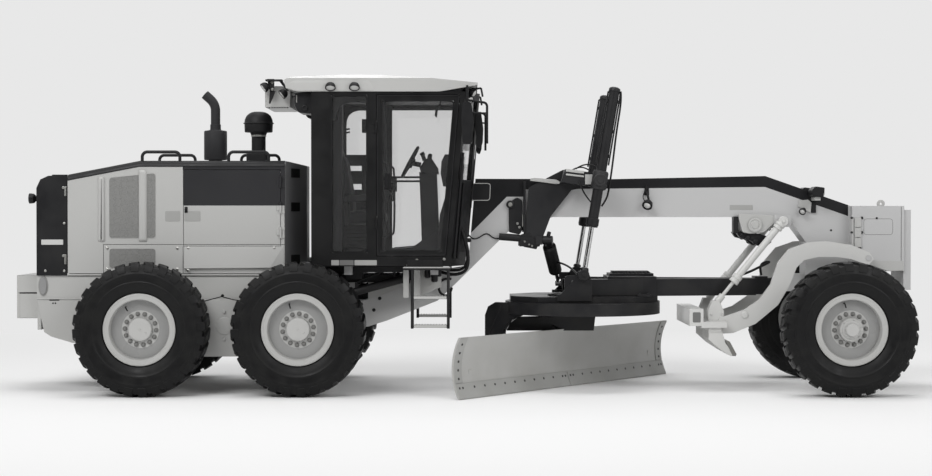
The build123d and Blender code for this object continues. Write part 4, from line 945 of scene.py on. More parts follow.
def cab_side(word, side):
    """Seals, plates, bolts, door furniture and lamps of one side of the cab."""
    y, out = side * CAB_SIDE, sideways(side)
    seals = Work()
    window = [(1.56, 1.41), (2.154 + slant(1.41), 1.41), (2.154 + slant(2.92), 2.92), (1.56, 2.92)]
    strip(seals, rounded_outline(window, 0.05), y, 0.014, 0.004, -0.001)
    seals.piece("door_seal_" + word, HOSE_RUBBER, "cab_door_" + word)
    quarter = Work()
    strip(quarter, panel(1.062, 1.43, 1.40, 2.975, 0.045), y, 0.016, 0.004, -0.001)
    quarter.piece("quarter_seal_" + word, HOSE_RUBBER)
    frame_edge = Work()
    strip(frame_edge, rounded_outline(door_outline(0.006), 0.03), y, 0.012, 0.006, -0.001)
    frame_edge.piece("door_edge_" + word, BLACK_PAINT, "cab_door_" + word, bevel=0.001)

    pull = Work()
    pull.block(1.60, 1.66, y - side * 0.004, y + side * 0.010, 2.03, 2.19)
    pull.loft([[at(1.607 + a, y + side * d, z) for a, d in ((0, 0.008), (0.022, 0.008), (0.020, 0.030),
        (0.002, 0.030))] for z in (2.05, 2.06, 2.15, 2.16)])
    pull.piece("door_handle_" + word, BLACK_PLASTIC, "cab_door_" + word, bevel=0.003)
    inner = side * (CAB_SIDE - 0.055)
    hose("door_grab_" + word, [at(1.571, inner, 2.306), at(1.612, inner, 2.300),
        at(1.636, inner - side * 0.012, 2.262), at(1.636, inner - side * 0.012, 1.60),
        at(1.612, inner, 1.562), at(1.571, inner, 1.556)], 0.0115, "cab_door_" + word, BLACK_PAINT)

    fittings, hinges = Work(), Work()
    for x, z in ((1.920, 1.327), (2.002, 1.297), (2.108, 1.297), (2.191, 1.337), (1.868, 1.278),
            (1.830, 1.278)):
        fittings.bolt(at(x, y, z), out, 0.020, 0.009)
    for z in (1.700, 2.650):
        hinges.rod(at(1.522, y + side * 0.008, z - 0.05), at(1.522, y + side * 0.008, z + 0.06), 0.005, 10)
    hinges.piece("door_hinge_knuckles_" + word, ZINC, "cab_door_" + word)
    fittings.piece("cab_sill_bolts_" + word, ZINC)

    labels, grey_label = Work(), Work()
    for work, x0, x1 in ((labels, 1.067, 1.144), (grey_label, 1.149, 1.290), (labels, 1.298, 1.521)):
        work.laid(panel(x0, x1, 1.276, 1.328, 0.006, 2), y, side, 0.001, 0.0012)
    labels.piece("sill_plates_" + word, SOFT_GREY)
    grey_label.piece("sill_plate_grey_" + word, HOLE_SHADE_AND_LABEL_GREY)

    # Two round work lamps under the roof's edge, tipped towards the ground.
    lamps, lenses = Work(), Work()
    for x in (1.064, 1.302):
        aim = Vector((0, side * 0.50, -0.86)).normalized()
        middle = at(x, side * 0.795, 3.060)
        lamps.turned([(0, -0.032), (0.022, -0.030), (0.040, -0.018), (0.050, 0.0), (0.053, 0.022),
            (0.053, 0.030), (0.046, 0.030), (0.044, 0.022), (0, 0.020)], middle, aim, 28)
        lamps.block(x - 0.012, x + 0.012, side * 0.755, side * 0.80, 3.050, 3.075)
        lenses.turned([(0, 0.019), (0.044, 0.021), (0.042, 0.026), (0.03, 0.031), (0, 0.034)], middle, aim,
            28)
    lamps.piece("roof_side_lamps_" + word, BLACK_PLASTIC, bevel=0.0015)
    lenses.piece("roof_side_lenses_" + word, LENS, smooth=60)

    flank = Work()
    rings = []
    for x, proud, low, high in ((0.62, 0.7605, 3.05, 3.105), (0.70, 0.7655, 3.012, 3.125),
            (1.44, 0.7655, 3.010, 3.125), (1.49, 0.7605, 3.012, 3.06)):
        rings.append([at(x, side * across, z) for across, z in ((0.752, low), (proud, low),
            (proud, high - 0.03), (0.757, high), (0.740, high))])
    flank.loft(rings)
    flank.piece("roof_flank_" + word, LIGHT_PAINT, bevel=0.004)


def roof_and_rear():
    """Header under the visor, air-conditioning unit, rear lamps, aerial and the box behind the cab."""
    header = Work()
    header.loft([[at(x, y, z) for y, z in ((-half, low), (half, low), (half, top), (-half, top))]
        for x, half, low, top in ((2.13, 0.74, 2.985, 3.004), (2.36, 0.735, 2.99, 3.036),
        (2.50, 0.40, 2.99, 3.052))])
    header.piece("cab_header", BLACK_PAINT, bevel=0.004)

    cooler = Work()
    cooler.plate(rounded_outline([(0.395, 2.872), (0.625, 2.872), (0.632, 3.075), (0.470, 3.085),
        (0.395, 3.02)], 0.02), -0.432, 0.432)
    cooler.plate(rounded_outline([(0.374, 2.895), (0.392, 2.895), (0.392, 3.03), (0.374, 3.01)], 0.006, 2),
        -0.40, 0.40)
    cooler.piece("cooler_casing", LIGHT_PAINT, bevel=0.004)
    fins = Work()
    for k in range(22):
        y = -0.36 + k * 0.034
        fins.block(0.3735, 0.378, y, y + 0.014, 2.91, 2.998)
    for k in range(8):
        x = 0.415 + k * 0.026
        fins.turned([(0, 0), (0.008, 0), (0.008, 0.010), (0, 0.012)], at(x, -0.40, 2.872),
            Vector((0, 0, -1)), 10)
    fins.piece("cooler_fins_and_studs", BLACK_PLASTIC)

    back = Work()
    for side in (-1, 1):
        back.plate(rounded_outline([(0.700, 2.86), (0.735, 2.80), (0.866, 2.79), (0.866, 2.995),
            (0.700, 2.995)], 0.02), side * 0.30, side * 0.69)
        back.turned([(0, 0), (0.030, 0), (0.030, 0.014), (0.020, 0.018), (0.020, 0.008), (0, 0.008)],
            at(0.80, side * 0.69, 2.845), sideways(side), 24)
        # the upper lamp's bracket and the strap that carries it
        back.plate([(0.43, 3.02), (0.475, 3.02), (0.475, 3.15), (0.40, 3.15)], side * 0.50, side * 0.508)
        back.plate([(0.42, 2.90), (0.435, 2.90), (0.49, 3.03), (0.43, 3.03)], side * 0.50, side * 0.508)
        back.block(0.39, 0.56, side * 0.46, side * 0.56, 3.126, 3.142)
        back.plate([(0.52, 3.13), (0.56, 3.13), (0.62, 3.03), (0.60, 3.03)], side * 0.50, side * 0.508)
    back.piece("cab_rear_boxes", BLACK_PAINT, bevel=0.002)
    bolts = Work()
    for side in (-1, 1):
        for z in (3.045, 3.115):
            bolts.bolt(at(0.455, side * 0.508, z), sideways(side), 0.022, 0.010)
        bolts.block(0.712, 0.722, side * 0.60, side * 0.692, 2.90, 2.975)
    bolts.piece("lamp_bolts", ZINC)
    lamps, lenses = Work(), Work()
    for side in (-1, 1):
        for x, z in ((0.390, 3.072), (0.575, 3.005)):
            aim = Vector((-0.80, side * 0.25, -0.62)).normalized()
            middle = at(x, side * 0.53, z)
            lamps.turned([(0, -0.035), (0.020, -0.033), (0.038, -0.020), (0.048, 0.0), (0.051, 0.024),
                (0.051, 0.032), (0.045, 0.032), (0.043, 0.024), (0, 0.022)], middle, aim, 28)
            lenses.turned([(0, 0.021), (0.043, 0.023), (0.041, 0.028), (0.03, 0.033), (0, 0.036)], middle,
                aim, 28)
    lamps.piece("cab_rear_lamps", BLACK_PLASTIC, bevel=0.0015)
    lenses.piece("cab_rear_lenses", LENS, smooth=60)

    aerial = Work()
    aerial.turned([(0, 0), (0.012, 0), (0.012, 0.006), (0.0035, 0.012), (0.0025, 0.042), (0, 0.043)],
        at(0.81, -0.3, 3.155), UP, 14)
    aerial.piece("aerial", BLACK_PLASTIC)


def cushion(name, x, z, length, width, height, lean):
    """A stuffed cushion: crowned, drawn in along its sides, with two sewn channels across it."""
    across, along = 28, 24
    work = Work()
    turn = Matrix.Rotation(radians(lean), 3, "Y")
    rows = []
    for i in range(along + 1):
        u = i / along * 2 - 1
        row_points = []
        for j in range(across):
            angle = 2 * pi * j / across
            # a rounded box section, with channels and side bolsters on its upper face
            c, s = cos(angle), sin(angle)
            wide = abs(c) ** 0.35 * (1 if c > 0 else -1)
            tall = abs(s) ** 0.55 * (1 if s > 0 else -1)
            end = max(0.0, 1 - abs(u) ** 6) ** 0.35
            channel = 0.90 if tall > 0 and abs(abs(u) - 0.38) < 0.05 else 1
            bolster = 1.30 if tall > 0 and abs(wide) > 0.72 else 1
            point = Vector((u * length / 2, wide * width / 2 * (0.93 + 0.07 * end) * (0.25 + 0.75 * end),
                tall * height / 2 * end * channel * bolster))
            row_points.append(at(x, 0, z) + turn @ point)
        rows.append(row_points)
    work.loft(rows)
    made = work.piece(name, SEAT_CLOTH, smooth=70)
    return made


def interior():
    """Seat on its bellows, armrest pods, console with wheel and levers, rear wall trim and mirror."""
    base = cushion("seat_cushion", 1.345, 1.742, 0.50, 0.50, 0.145, -4)
    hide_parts("seat")
    cushion("seat_back", 1.150, 2.085, 0.62, 0.48, 0.125, 81)
    cushion("seat_headrest", 1.088, 2.405, 0.17, 0.27, 0.085, 81)
    frame_work = Work()
    for k in range(6):
        z = 1.40 + k * 0.038
        wide = 0.158 if k % 2 else 0.142
        frame_work.loft([[at(1.33 + a * wide, b * wide * 1.1, level) for a, b in ((-1, -1), (1, -1), (1, 1),
            (-1, 1))] for level in (z, z + 0.038)])
    frame_work.block(1.14, 1.52, -0.21, 0.21, 1.625, 1.672)
    frame_work.block(1.16, 1.50, -0.19, 0.19, 1.345, 1.402)
    frame_work.piece("seat_suspension", BLACK_PLASTIC, bevel=0.006)
    pods = Work()
    for side in (-1, 1):
        y = side * 0.335
        for x0, x1, half, rise, levels in ((1.06, 1.52, 0.045, 0.01, (1.905, 1.985)),
                (1.50, 1.66, 0.05, -0.01, (1.93, 2.005))):
            pods.loft([[at(x0, y - half, z), at(x1, y - half, z + rise), at(x1, y + half, z + rise),
                at(x0, y + half, z)] for z in levels])
        pods.block(1.12, 1.22, y - 0.03, y + 0.03, 1.66, 1.91)
    pods.piece("armrests", BLACK_PLASTIC, bevel=0.012)
    sticks = Work()
    for side in (-1, 1):
        for dx, dy in ((1.58, -0.02), (1.63, 0.02)):
            foot = at(dx, side * 0.335 + dy, 1.99)
            sticks.turned([(0, 0), (0.016, 0), (0.010, 0.012), (0.006, 0.02), (0.006, 0.075),
                (0.013, 0.085), (0.015, 0.10), (0.010, 0.115), (0, 0.118)], foot,
                Vector((0.12, 0, 1)).normalized(), 14)
    sticks.piece("armrest_levers", BLACK_PLASTIC)

    # Steering wheel, thick rimmed, on a hub with three spokes.
    hub, centre = at(1.905, 0, 2.305), at(1.828, 0, 2.325)
    axle = (centre - at(1.93, 0, 2.27)).normalized()
    first, second = square_to(axle)
    wheel = Work()
    grip = 0.0155
    rings = []
    for a in around(48):
        radial = first * cos(a) + second * sin(a)
        rings.append([centre + radial * (0.172 + grip * cos(b)) + axle * grip * sin(b) for b in around(12)])
    wheel.skin(rings, wrap=True)
    wheel.turned([(0, -0.03), (0.05, -0.028), (0.055, -0.012), (0.045, 0.004), (0, 0.008)],
        centre - axle * 0.012, axle, 28)
    for a in (pi / 2, pi / 2 + 2.1, pi / 2 - 2.1):
        radial = first * cos(a) + second * sin(a)
        wheel.rod(centre - axle * 0.018 + radial * 0.035, centre + radial * 0.168, 0.011, 10)
    wheel.rod(centre - axle * 0.02, hub + (hub - centre) * 0.45, 0.026, 16)
    wheel.piece("steering_wheel", BLACK_PLASTIC, smooth=60)

    desk = Work()
    desk.ribs(((1.945, 2.215), (2.125, 2.200), (2.118, 2.262), (2.045, 2.375), (1.985, 2.345),
        (1.93, 2.262)), (-0.185, -0.15, 0.15, 0.185))
    desk.ribs(((2.005, 2.345), (2.050, 2.335), (2.058, 2.405), (2.035, 2.415), (2.012, 2.40)),
        (-0.07, 0.07))
    for side in (-1, 1):
        for k in range(3):
            desk.turned([(0, 0), (0.010, 0), (0.006, 0.01), (0.005, 0.055), (0.011, 0.062), (0.011, 0.078),
                (0, 0.082)], at(1.965 + 0.012 * k, side * (0.09 + 0.03 * k), 2.34 + 0.006 * k),
                Vector((-0.35, 0, 1)).normalized(), 12)
    desk.piece("console_desk", BLACK_PLASTIC, bevel=0.006)
    column = Work()
    column.ribs(((1.955, 1.345), (2.140, 1.345), (2.125, 1.70), (2.105, 2.21), (1.925, 2.22),
        (1.940, 1.85)), (-0.12, -0.112, 0.112, 0.12))
    for side in (-1, 1):
        for z in (1.50, 1.68, 1.86, 2.04):
            column.turned([(0, 0), (0.008, 0), (0.008, 0.004), (0, 0.005)], at(1.985, side * 0.1215, z),
                sideways(side), 12)
    made = column.piece("console_column", BLACK_PLASTIC, bevel=0.006)
    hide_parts("steering_console")
    pedals = Work()
    for y in (-0.05, 0.06):
        pedals.rod(at(1.850, y, 1.405), at(2.02, y, 1.545), 0.011, 12)
    pedals.loft([[at(1.80, y, 1.375), at(1.90, y, 1.435), at(1.892, y, 1.449), at(1.792, y, 1.389)]
        for y in (-0.09, 0.10)])
    pedals.piece("pedals", BLACK_PAINT, bevel=0.002)

    wall = Work()
    wall.block(0.925, 0.990, -0.62, 0.62, 1.345, 1.88)
    wall.loft([[at(0.92, y, z) for y, z in ((-0.62, 1.86), (0.62, 1.86), (0.62, 1.90), (-0.62, 1.90))],
        [at(1.06, y, z) for y, z in ((-0.60, 1.86), (0.60, 1.86), (0.60, 1.885), (-0.60, 1.885))]])
    for side in (-1, 1):
        wall.block(0.925, 1.055, side * 0.56, side * 0.70, 1.345, 2.985)
        for x0, x1, inner, outer, z0 in ((1.435, 1.505, 0.655, 0.698, 1.345),
                (1.505, 1.612, 0.655, 0.692, 1.345), (1.055, 1.44, 0.64, 0.698, 2.90)):
            wall.block(x0, x1, side * inner, side * outer, z0, 2.985)
        wall.plate([(1.05, 2.905), (1.05, 2.72), (1.121, 2.72), (1.124, 2.79), (1.145, 2.845),
            (1.19, 2.882), (1.26, 2.902)], side * 0.64, side * 0.698)
    wall.block(0.93, 2.30, -0.70, 0.70, 2.955, 2.996)
    for x0, x1, z0, z1 in ((1.06, 1.43, 1.345, 2.05), (1.06, 1.124, 2.05, 2.40), (1.285, 1.43, 2.05, 2.33),
            (1.124, 1.285, 2.111, 2.251), (1.124, 1.188, 2.05, 2.112), (1.06, 1.43, 2.305, 2.424),
            (1.06, 1.121, 2.40, 2.98)):
        wall.block(x0, x1, 0.640, 0.698, z0, z1)
    wall.piece("cab_lining", BLACK_PLASTIC, bevel=0.006)
    side_box = Work()
    side_box.block(1.10, 1.40, 0.50, 0.695, 1.345, 1.93)
    side_box.block(1.290, 1.435, 0.60, 0.69, 2.66, 2.805)
    side_box.block(0.95, 1.165, -0.62, -0.40, 1.345, 2.93)
    for z in (2.66, 2.695):
        side_box.rod(at(1.115, 0.655, z), at(1.158, 0.655, z + 0.008), 0.010, 10)
    side_box.piece("cab_side_box", BLACK_PLASTIC, bevel=0.008)
    corner = Work()
    for side in (-1, 1):
        for levels in ((1.40, 2.13), (2.93, 2.99)):
            corner.loft([[at(x + slant(z), side * y, z) for x, y in ((2.262, 0.742), (2.388, 0.440),
                (2.366, 0.430), (2.240, 0.732))] for z in levels])
        for x, y, top in ((2.285, 0.715, 2.4), (2.315, 0.642, 2.1)):
            corner.rod(at(x + slant(1.34), side * y, 1.34), at(x + slant(top), side * y, top), 0.012, 12)
        corner.plate([(2.112, 1.382), (2.224, 1.382), (2.238, 2.018), (2.198, 1.949), (2.147, 1.778)],
            side * 0.62, side * 0.69)
        corner.plate([(1.640, 1.380), (1.640, 1.432), (1.868, 1.452), (2.093, 1.613), (2.128, 1.674),
            (2.162, 1.380)], side * 0.30, side * 0.60)
    corner.plate([(2.154, 2.192), (2.162, 2.313), (2.197, 2.386), (2.252, 2.386), (2.240, 2.063),
        (2.180, 2.063)], -0.62, -0.56)
    corner.piece("corner_trims", BLACK_PLASTIC, bevel=0.003)
    rails = Work()
    for z in (2.140, 2.183):
        rails.rod(at(1.545, 0.645, z), at(1.985, 0.645, z), 0.011, 12)
    rails.piece("far_side_rails", BLACK_PAINT, "cab_door_left")
    mirror = Work()
    mirror.ribs(((2.085, 2.80), (2.105, 2.795), (2.113, 2.865), (2.093, 2.87)), (-0.12, 0.12))
    mirror.rod(at(2.10, 0, 2.84), at(2.15, 0, 2.96), 0.008, 12)
    mirror.piece("inside_mirror", BLACK_PLASTIC, bevel=0.004)

    wide = Work()
    for side in (-1, 1):
        wide.plate(rounded_outline([(2.504, 2.791), (2.558, 2.799), (2.581, 2.629), (2.575, 2.493),
            (2.555, 2.435), (2.521, 2.450), (2.500, 2.629)], 0.012, 3), side * 0.84, side * 0.875)
        wide.rod(at(2.516, side * 0.75, 2.751), at(2.541, side * 0.855, 2.748), 0.009, 12)
    wide.piece("wide_angle_mirrors", BLACK_PLASTIC, bevel=0.004)

    # Windscreen wiper, parked upright in front of the glass.
    foot, tip = at(2.405 + slant(1.55), -0.26, 1.55), at(2.405 + slant(2.35), -0.19, 2.35)
    wiper = Work()
    wiper.rod(foot, tip, 0.007, 10)
    wiper.rod(at(2.409 + slant(1.85), -0.30, 1.85), at(2.409 + slant(2.55), -0.10, 2.55), 0.006, 8)
    wiper.button((0.022, 0.03, 0.014, 0.04), at(2.400 + slant(1.52), -0.26, 1.52), AHEAD, 18)
    wiper.piece("windscreen_wiper", BLACK_PLASTIC)


for pair in SIDES:
    cab_side(*pair)
roof_and_rear()
interior()


# ---- rear frame and tandem cases ------------------------------------------------------------
def seam(work, points, y, out, width=0.008, depth=0.0015):
    """A painted-over joint line along (x, z) points on a side face at y."""
    for (xa, za), (xb, zb) in zip(points, points[1:]):
        run = Vector((xb - xa, zb - za)).normalized() * width / 2
        work.plate([(xa - run.y, za + run.x), (xa + run.y, za - run.x), (xb + run.y, zb - run.x),
            (xb - run.y, zb + run.x)], y - out * 0.002, y + out * depth)


RAIL_SIDE = 0.55            # outside of the rear frame's rails
CASE_SIDE = 0.80            # outside of a tandem case


def chassis(word, side):
    """Plates, joint lines, tail lamp and covers on one side of the rear frame."""
    y = side * RAIL_SIDE
    lines = Work()
    seam(lines, [(-1.60, 1.164), (0.62, 1.164)], y, side, 0.009)
    seam(lines, [(-0.36, 0.905), (-0.185, 0.923), (-0.02, 0.966), (0.10, 0.935), (0.36, 0.905)],
        side * CASE_SIDE, side, 0.010)
    lines.button((0.016, 0.003), at(-0.010, side * CASE_SIDE, 0.975), sideways(side), 16)
    seam(lines, [(-2.13, 0.985), (-1.935, 0.985)], side * 0.40, side, 0.012)
    lines.plate([(-1.79, 0.915), (-1.69, 0.915), (-1.69, 0.924), (-1.79, 0.924)], y, y + side * 0.004)
    for x in (-1.755, -1.73):
        lines.button((0.008, 0.003), at(x, y, 0.888), sideways(side), 10)
    lines.piece("frame_joints_" + word, SEAM_BLACK, "rear_frame")
    plates = Work()
    plates.laid([(-1.914, 0.928), (-0.60, 0.928), (-0.60, 0.942), (-1.914, 0.942)], y, side, 0.004, 0.012)
    for z0, z1, x0 in ((0.733, 0.978, -2.125), (0.992, 1.160, -2.150)):
        plates.plate(panel(x0, -1.922, z0, z1, 0.012), side * 0.398, side * 0.412)
    plates.button((0.088, 0.005, 0.082, 0.008), at(0.009, side * CASE_SIDE, 0.674), sideways(side), 40)
    plates.piece("frame_plates_" + word, LIGHT_PAINT, "rear_frame", bevel=0.003)
    bolts = Work()
    for z in (0.816, 0.542):
        bolts.bolt(at(0.006, side * CASE_SIDE, z), sideways(side), 0.030, 0.016)
    for z in (0.79, 1.08):
        for inward in (0.25, 0.35):
            bolts.bolt(at(-2.142, side * inward, z), BACK)
    bolts.piece("frame_bolts_" + word, LIGHT_PAINT, "rear_frame")

    # Tail lamp, an upright oval let into the end of the rail.
    bezel, glass = Work(), Work()
    for work, wide, tall, y0, y1 in ((bezel, 0.048, 0.100, -0.004, 0.010),
            (glass, 0.036, 0.088, 0.006, 0.019)):
        ring = [(-1.852 + wide * cos(a), 1.062 + tall * sin(a)) for a in around(36)]
        work.ribs(ring, (y + side * y0, y + side * y1))
    bezel.piece("tail_lamp_bezel_" + word, GREY_PLASTIC, "rear_frame", bevel=0.003)
    glass.piece("tail_lamp_" + word, TAIL_LENS, "rear_frame", bevel=0.004)


def artic_fittings(word, side):
    """Glands, ports and hoses of a steering ram beside the frame joint."""
    top, foot = at(1.80, side * 0.45, 1.14), at(0.75, side * 0.45, 0.85)
    way = (foot - top).normalized()
    gland = Work()
    gland.turned([(0.043, 0.555), (0.056, 0.560), (0.056, 0.590), (0.050, 0.593), (0.050, 0.600),
        (0.056, 0.603), (0.056, 0.648), (0.028, 0.652), (0.028, 0.640), (0.043, 0.640)], top, way, 28)
    for along in (0.52, 0.12):
        gland.button((0.016, 0.045, 0.010, 0.05), top + way * along + UP * 0.040, UP, 12)
    gland.piece("artic_gland_" + word, BLACK_PAINT, "articulation_barrel_" + word, bevel=0.002)
    start, back = (top + way * along + UP * 0.066 for along in (0.52, 0.12))
    tube = [start, start + UP * 0.035, start + Vector((0.07, 0, 0.062)), (start + back) / 2 + UP * 0.055,
        back + Vector((-0.07, 0, 0.048)), back + UP * 0.03, back]
    cord("artic_hose_" + word, tube, 0.0105, "articulation_barrel_" + word)


# ---- front frame ----------------------------------------------------------------------------
BEAM_SIDE = 0.17            # flank of the front frame's beam
NOSE_SIDE = 0.30            # flank of its nose and push block


def frame_side(word, side):
    """Plates, lamps, blank panels and fasteners on one side of the beam and nose."""
    y, out = side * BEAM_SIDE, sideways(side)
    outline = rounded_outline([(2.455, 1.925), (2.655, 1.925), (2.662, 2.105), (2.448, 2.105)], 0.035, 5)
    badge = Work()
    badge.laid(outline, y, side, 0.002, 0.004)
    badge.piece("blank_badge_" + word, BLACK_PAINT, bevel=0.001)
    rim = Work()
    strip(rim, outline, y, 0.007, 0.006, 0.002)
    rim.piece("badge_rim_" + word, PLATE_GREY)
    blank = Work()
    blank.laid([(5.119, 1.829), (5.355, 1.829), (5.355, 1.880), (5.119, 1.880)], y, side, 0.001, 0.0012)
    blank.piece("blank_plate_" + word, SOFT_GREY)

    # Work lamp on a short stem, turned towards the blade.
    lamp, lens = Work(), Work()
    aim = Vector((-0.35, side * 0.72, -0.60)).normalized()
    middle = at(4.268, side * 0.262, 1.888)
    lamp.turned([(0, -0.045), (0.026, -0.042), (0.044, -0.022), (0.052, 0.006), (0.054, 0.030),
        (0.038, 0.030), (0.036, 0.022), (0, 0.020)], middle, aim, 28)
    lamp.rod(at(4.262, side * 0.19, 2.02), middle - aim * 0.03 + UP * 0.03, 0.011, 12)
    lamp.laid(rounded_outline([(4.235, 1.98), (4.29, 1.98), (4.285, 2.07), (4.245, 2.07)], 0.008, 2), y,
        side, 0.002, 0.012)
    lens.turned([(0, 0.021), (0.036, 0.023), (0.034, 0.028), (0.025, 0.034), (0, 0.037)], middle, aim, 28)
    lamp.piece("beam_lamp_" + word, BLACK_PLASTIC, bevel=0.0015)
    lens.piece("beam_lamp_lens_" + word, LENS, smooth=60)
    wire = [at(4.255, side * 0.19, 2.09), at(4.262, side * 0.215, 2.04), at(4.222, side * 0.225, 1.99),
        at(4.222, side * 0.235, 1.94), at(4.25, side * 0.232, 1.91)]
    cord("beam_lamp_lead_" + word, wire, 0.0045)

    # Headlamp on the slope of the nose: a black hooded box over a light bracket and a horn.
    box, horn = Work(), (at(5.861, side * 0.23, 1.821), Vector((-0.45, side * 0.75, -0.5)).normalized(), 24)
    box.plate(rounded_outline([(5.920, 1.972), (6.036, 1.955), (6.050, 2.055), (5.955, 2.068),
        (5.922, 2.035)], 0.012, 3), side * 0.19, side * 0.40)
    box.plate([(5.955, 1.80), (6.0, 1.80), (6.0, 1.91), (5.955, 1.91)], side * 0.172, side * 0.20)
    box.turned([(0.0, -0.03), (0.022, -0.028), (0.034, 0.0), (0.036, 0.030), (0.030, 0.030), (0.028, 0.018),
        (0, 0.016)], *horn)
    box.piece("headlamp_box_" + word, BLACK_PLASTIC, bevel=0.003)
    light = Work()
    light.plate([(5.815, 1.865), (5.945, 1.80), (5.96, 1.90), (5.92, 1.935), (5.83, 1.925)], side * 0.168,
        side * 0.19)
    light.block(5.955, 6.015, side * 0.17, side * 0.36, 1.925, 1.962)
    light.piece("headlamp_bracket_" + word, LIGHT_PAINT, bevel=0.003)
    face = Work()
    face.plate(panel(side * 0.375, side * 0.215, 1.975, 2.045, 0.012, 3), 6.041, 6.053, "x")
    face.turned([(0, 0.017), (0.029, 0.019), (0.02, 0.026), (0, 0.028)], *horn)
    face.piece("headlamp_lens_" + word, LENS, smooth=60)

    # Hinge strip, access panel and lifting eye of the push block.
    nose = side * NOSE_SIDE
    strap = Work()
    for z0, z1 in ((1.655, 1.752), (1.552, 1.648), (1.448, 1.545)):
        strap.laid(panel(6.372, 6.440, z0, z1, 0.006, 2), nose, side, 0.005, 0.018)
    strap.rod(at(6.352, nose + side * 0.004, 1.440), at(6.352, nose + side * 0.004, 1.76), 0.012, 12)
    strap.turned([(0, 0), (0.072, 0), (0.072, 0.012), (0.058, 0.016), (0.052, 0.010), (0.040, 0.010),
        (0.036, 0.018), (0, 0.018)], at(5.364, side * 0.262, 1.675), out, 40)
    strap.plate(panel(6.430, 6.440, 1.865, 1.872, 0.002, 2), nose - side * 0.01, nose)
    if side < 0:
        strap.turned([(0.013, 0), (0.040, 0), (0.040, 0.022), (0.013, 0.022), (0.013, 0)],
            at(6.660, -0.20, 1.893), out, 32)
    strap.laid([(6.40, 1.31), (6.876, 1.31), (6.876, 1.21), (6.72, 1.205), (6.55, 1.26)], nose, side, 0.02,
        0.002)
    strap.piece("nose_straps_" + word, LIGHT_PAINT, bevel=0.003)
    studs = Work()
    for x, z in ((6.345, 1.748), (6.345, 1.600), (6.430, 1.440), (6.448, 1.748), (6.448, 1.600)):
        studs.bolt(at(x, nose, z), out, 0.020, 0.022)
    studs.bolt(at(6.600, nose, 1.745), out, 0.016, 0.008)
    studs.button((0.011, 0.004), at(6.16, y, 1.62), out, 14)
    studs.piece("nose_studs_" + word, CAST_PAINT)
    # Joint lines round the access panel and along the foot, and down the front edge a painted shadow for
    # the recessed channel there.
    shadow = Work()
    strip(shadow, panel(6.466, 6.765, 1.575, 1.740, 0.035, 5), nose, 0.004, 0.0012, -0.001)
    seam(shadow, [(6.46, 1.206), (6.876, 1.206)], nose, side, 0.005)
    seam(shadow, [(6.850, 1.22), (6.850, 1.86)], nose, side, 0.006)
    shadow.piece("nose_joints_and_shade_" + word, SEAM_AND_SHADE_GREY)

    # Valve block and fittings under the beam, before the tool cylinders.
    valve = Work()
    if side < 0:
        valve.block(5.150, 5.200, -0.225, -0.10, 1.590, 1.762)
    valve.plate([(5.18, 1.60), (5.30, 1.605), (5.42, 1.585), (5.50, 1.56), (5.545, 1.50), (5.49, 1.452),
        (5.40, 1.462), (5.32, 1.52), (5.22, 1.545)], side * 0.12, side * 0.20)
    for x, z, r in ((5.30, 1.545, 0.026), (5.375, 1.505, 0.030), (5.485, 1.500, 0.034),
            (5.235, 1.575, 0.018)):
        valve.button((r, 0.035, r * 0.6, 0.045), at(x, side * 0.19, z), out, 20)
    valve.piece("tool_valve_" + word, BLACK_PAINT, bevel=0.004)
    hanger = Work()
    hanger.plate(rounded_outline([(5.20, 1.74), (5.24, 1.60), (5.32, 1.585), (5.46, 1.60), (5.57, 1.70),
        (5.60, 1.77), (5.20, 1.79)], 0.02), side * 0.168, side * 0.250)
    hanger.piece("tool_hanger_" + word, LIGHT_PAINT, bevel=0.004)

    # Saddle: hinge pin, lock plate and lock bar.
    lock = Work()
    lock.laid(rounded_outline([(2.850, 1.600), (2.960, 1.575), (2.985, 1.62), (2.985, 1.93), (2.93, 1.96),
        (2.865, 1.915), (2.845, 1.87)], 0.02), y, side, 0.002, 0.030)
    lock.button((0.042, 0.018, 0.032, 0.024), at(2.862, y + side * 0.026, 1.885), out, 28)
    lock.rod(at(2.748, side * 0.21, 1.555), at(2.965, side * 0.21, 1.538), 0.036, 20)
    lock.block(2.955, 3.115, side * 0.175, side * 0.235, 1.455, 1.545)
    lock.plate([(2.95, 1.56), (3.00, 1.45), (3.13, 1.425), (3.15, 1.47), (3.06, 1.60)], side * 0.18,
        side * 0.222)
    lock.block(2.995, 3.020, side * 0.18, side * 0.23, 1.60, 2.12)
    lock.piece("saddle_lock_" + word, BLACK_PAINT, bevel=0.004)
    pins = Work()
    pins.bolt(at(2.862, side * 0.220, 1.885), out, 0.030, 0.014)
    for x, z in ((2.935, 1.690), (2.955, 1.652), (3.01, 1.505), (3.085, 1.462), (3.055, 1.475)):
        pins.bolt(at(x, side * 0.232, z), out, 0.018, 0.010)
    pins.block(2.985, 2.992, side * 0.20, side * 0.224, 1.66, 1.78)
    pins.piece("saddle_pins_" + word, ZINC)
    link = Work()
    link.plate([(3.062, 2.128), (3.07, 2.152), (3.11, 2.158), (3.33, 2.140), (3.372, 2.118), (3.365, 2.096),
        (3.31, 2.096), (3.20, 2.112)], side * 0.213, side * 0.245)
    # Two light bars across the top of each lift arm: its light-grey cap, partly a painted highlight where
    # light falls on top.
    for z0, z1 in ((2.215, 2.243), (2.178, 2.196)):
        link.plate(rounded_outline([(3.412, z0), (3.598, z0 - 0.022), (3.598, z1 - 0.022), (3.416, z1)],
            0.006, 2), side * 0.38, side * 0.546)
    link.block(3.608, 3.690, side * 0.50, side * 0.562, 2.085, 2.185)
    link.piece("saddle_link_and_highlight_" + word, LIGHT_PAINT, bevel=0.004)

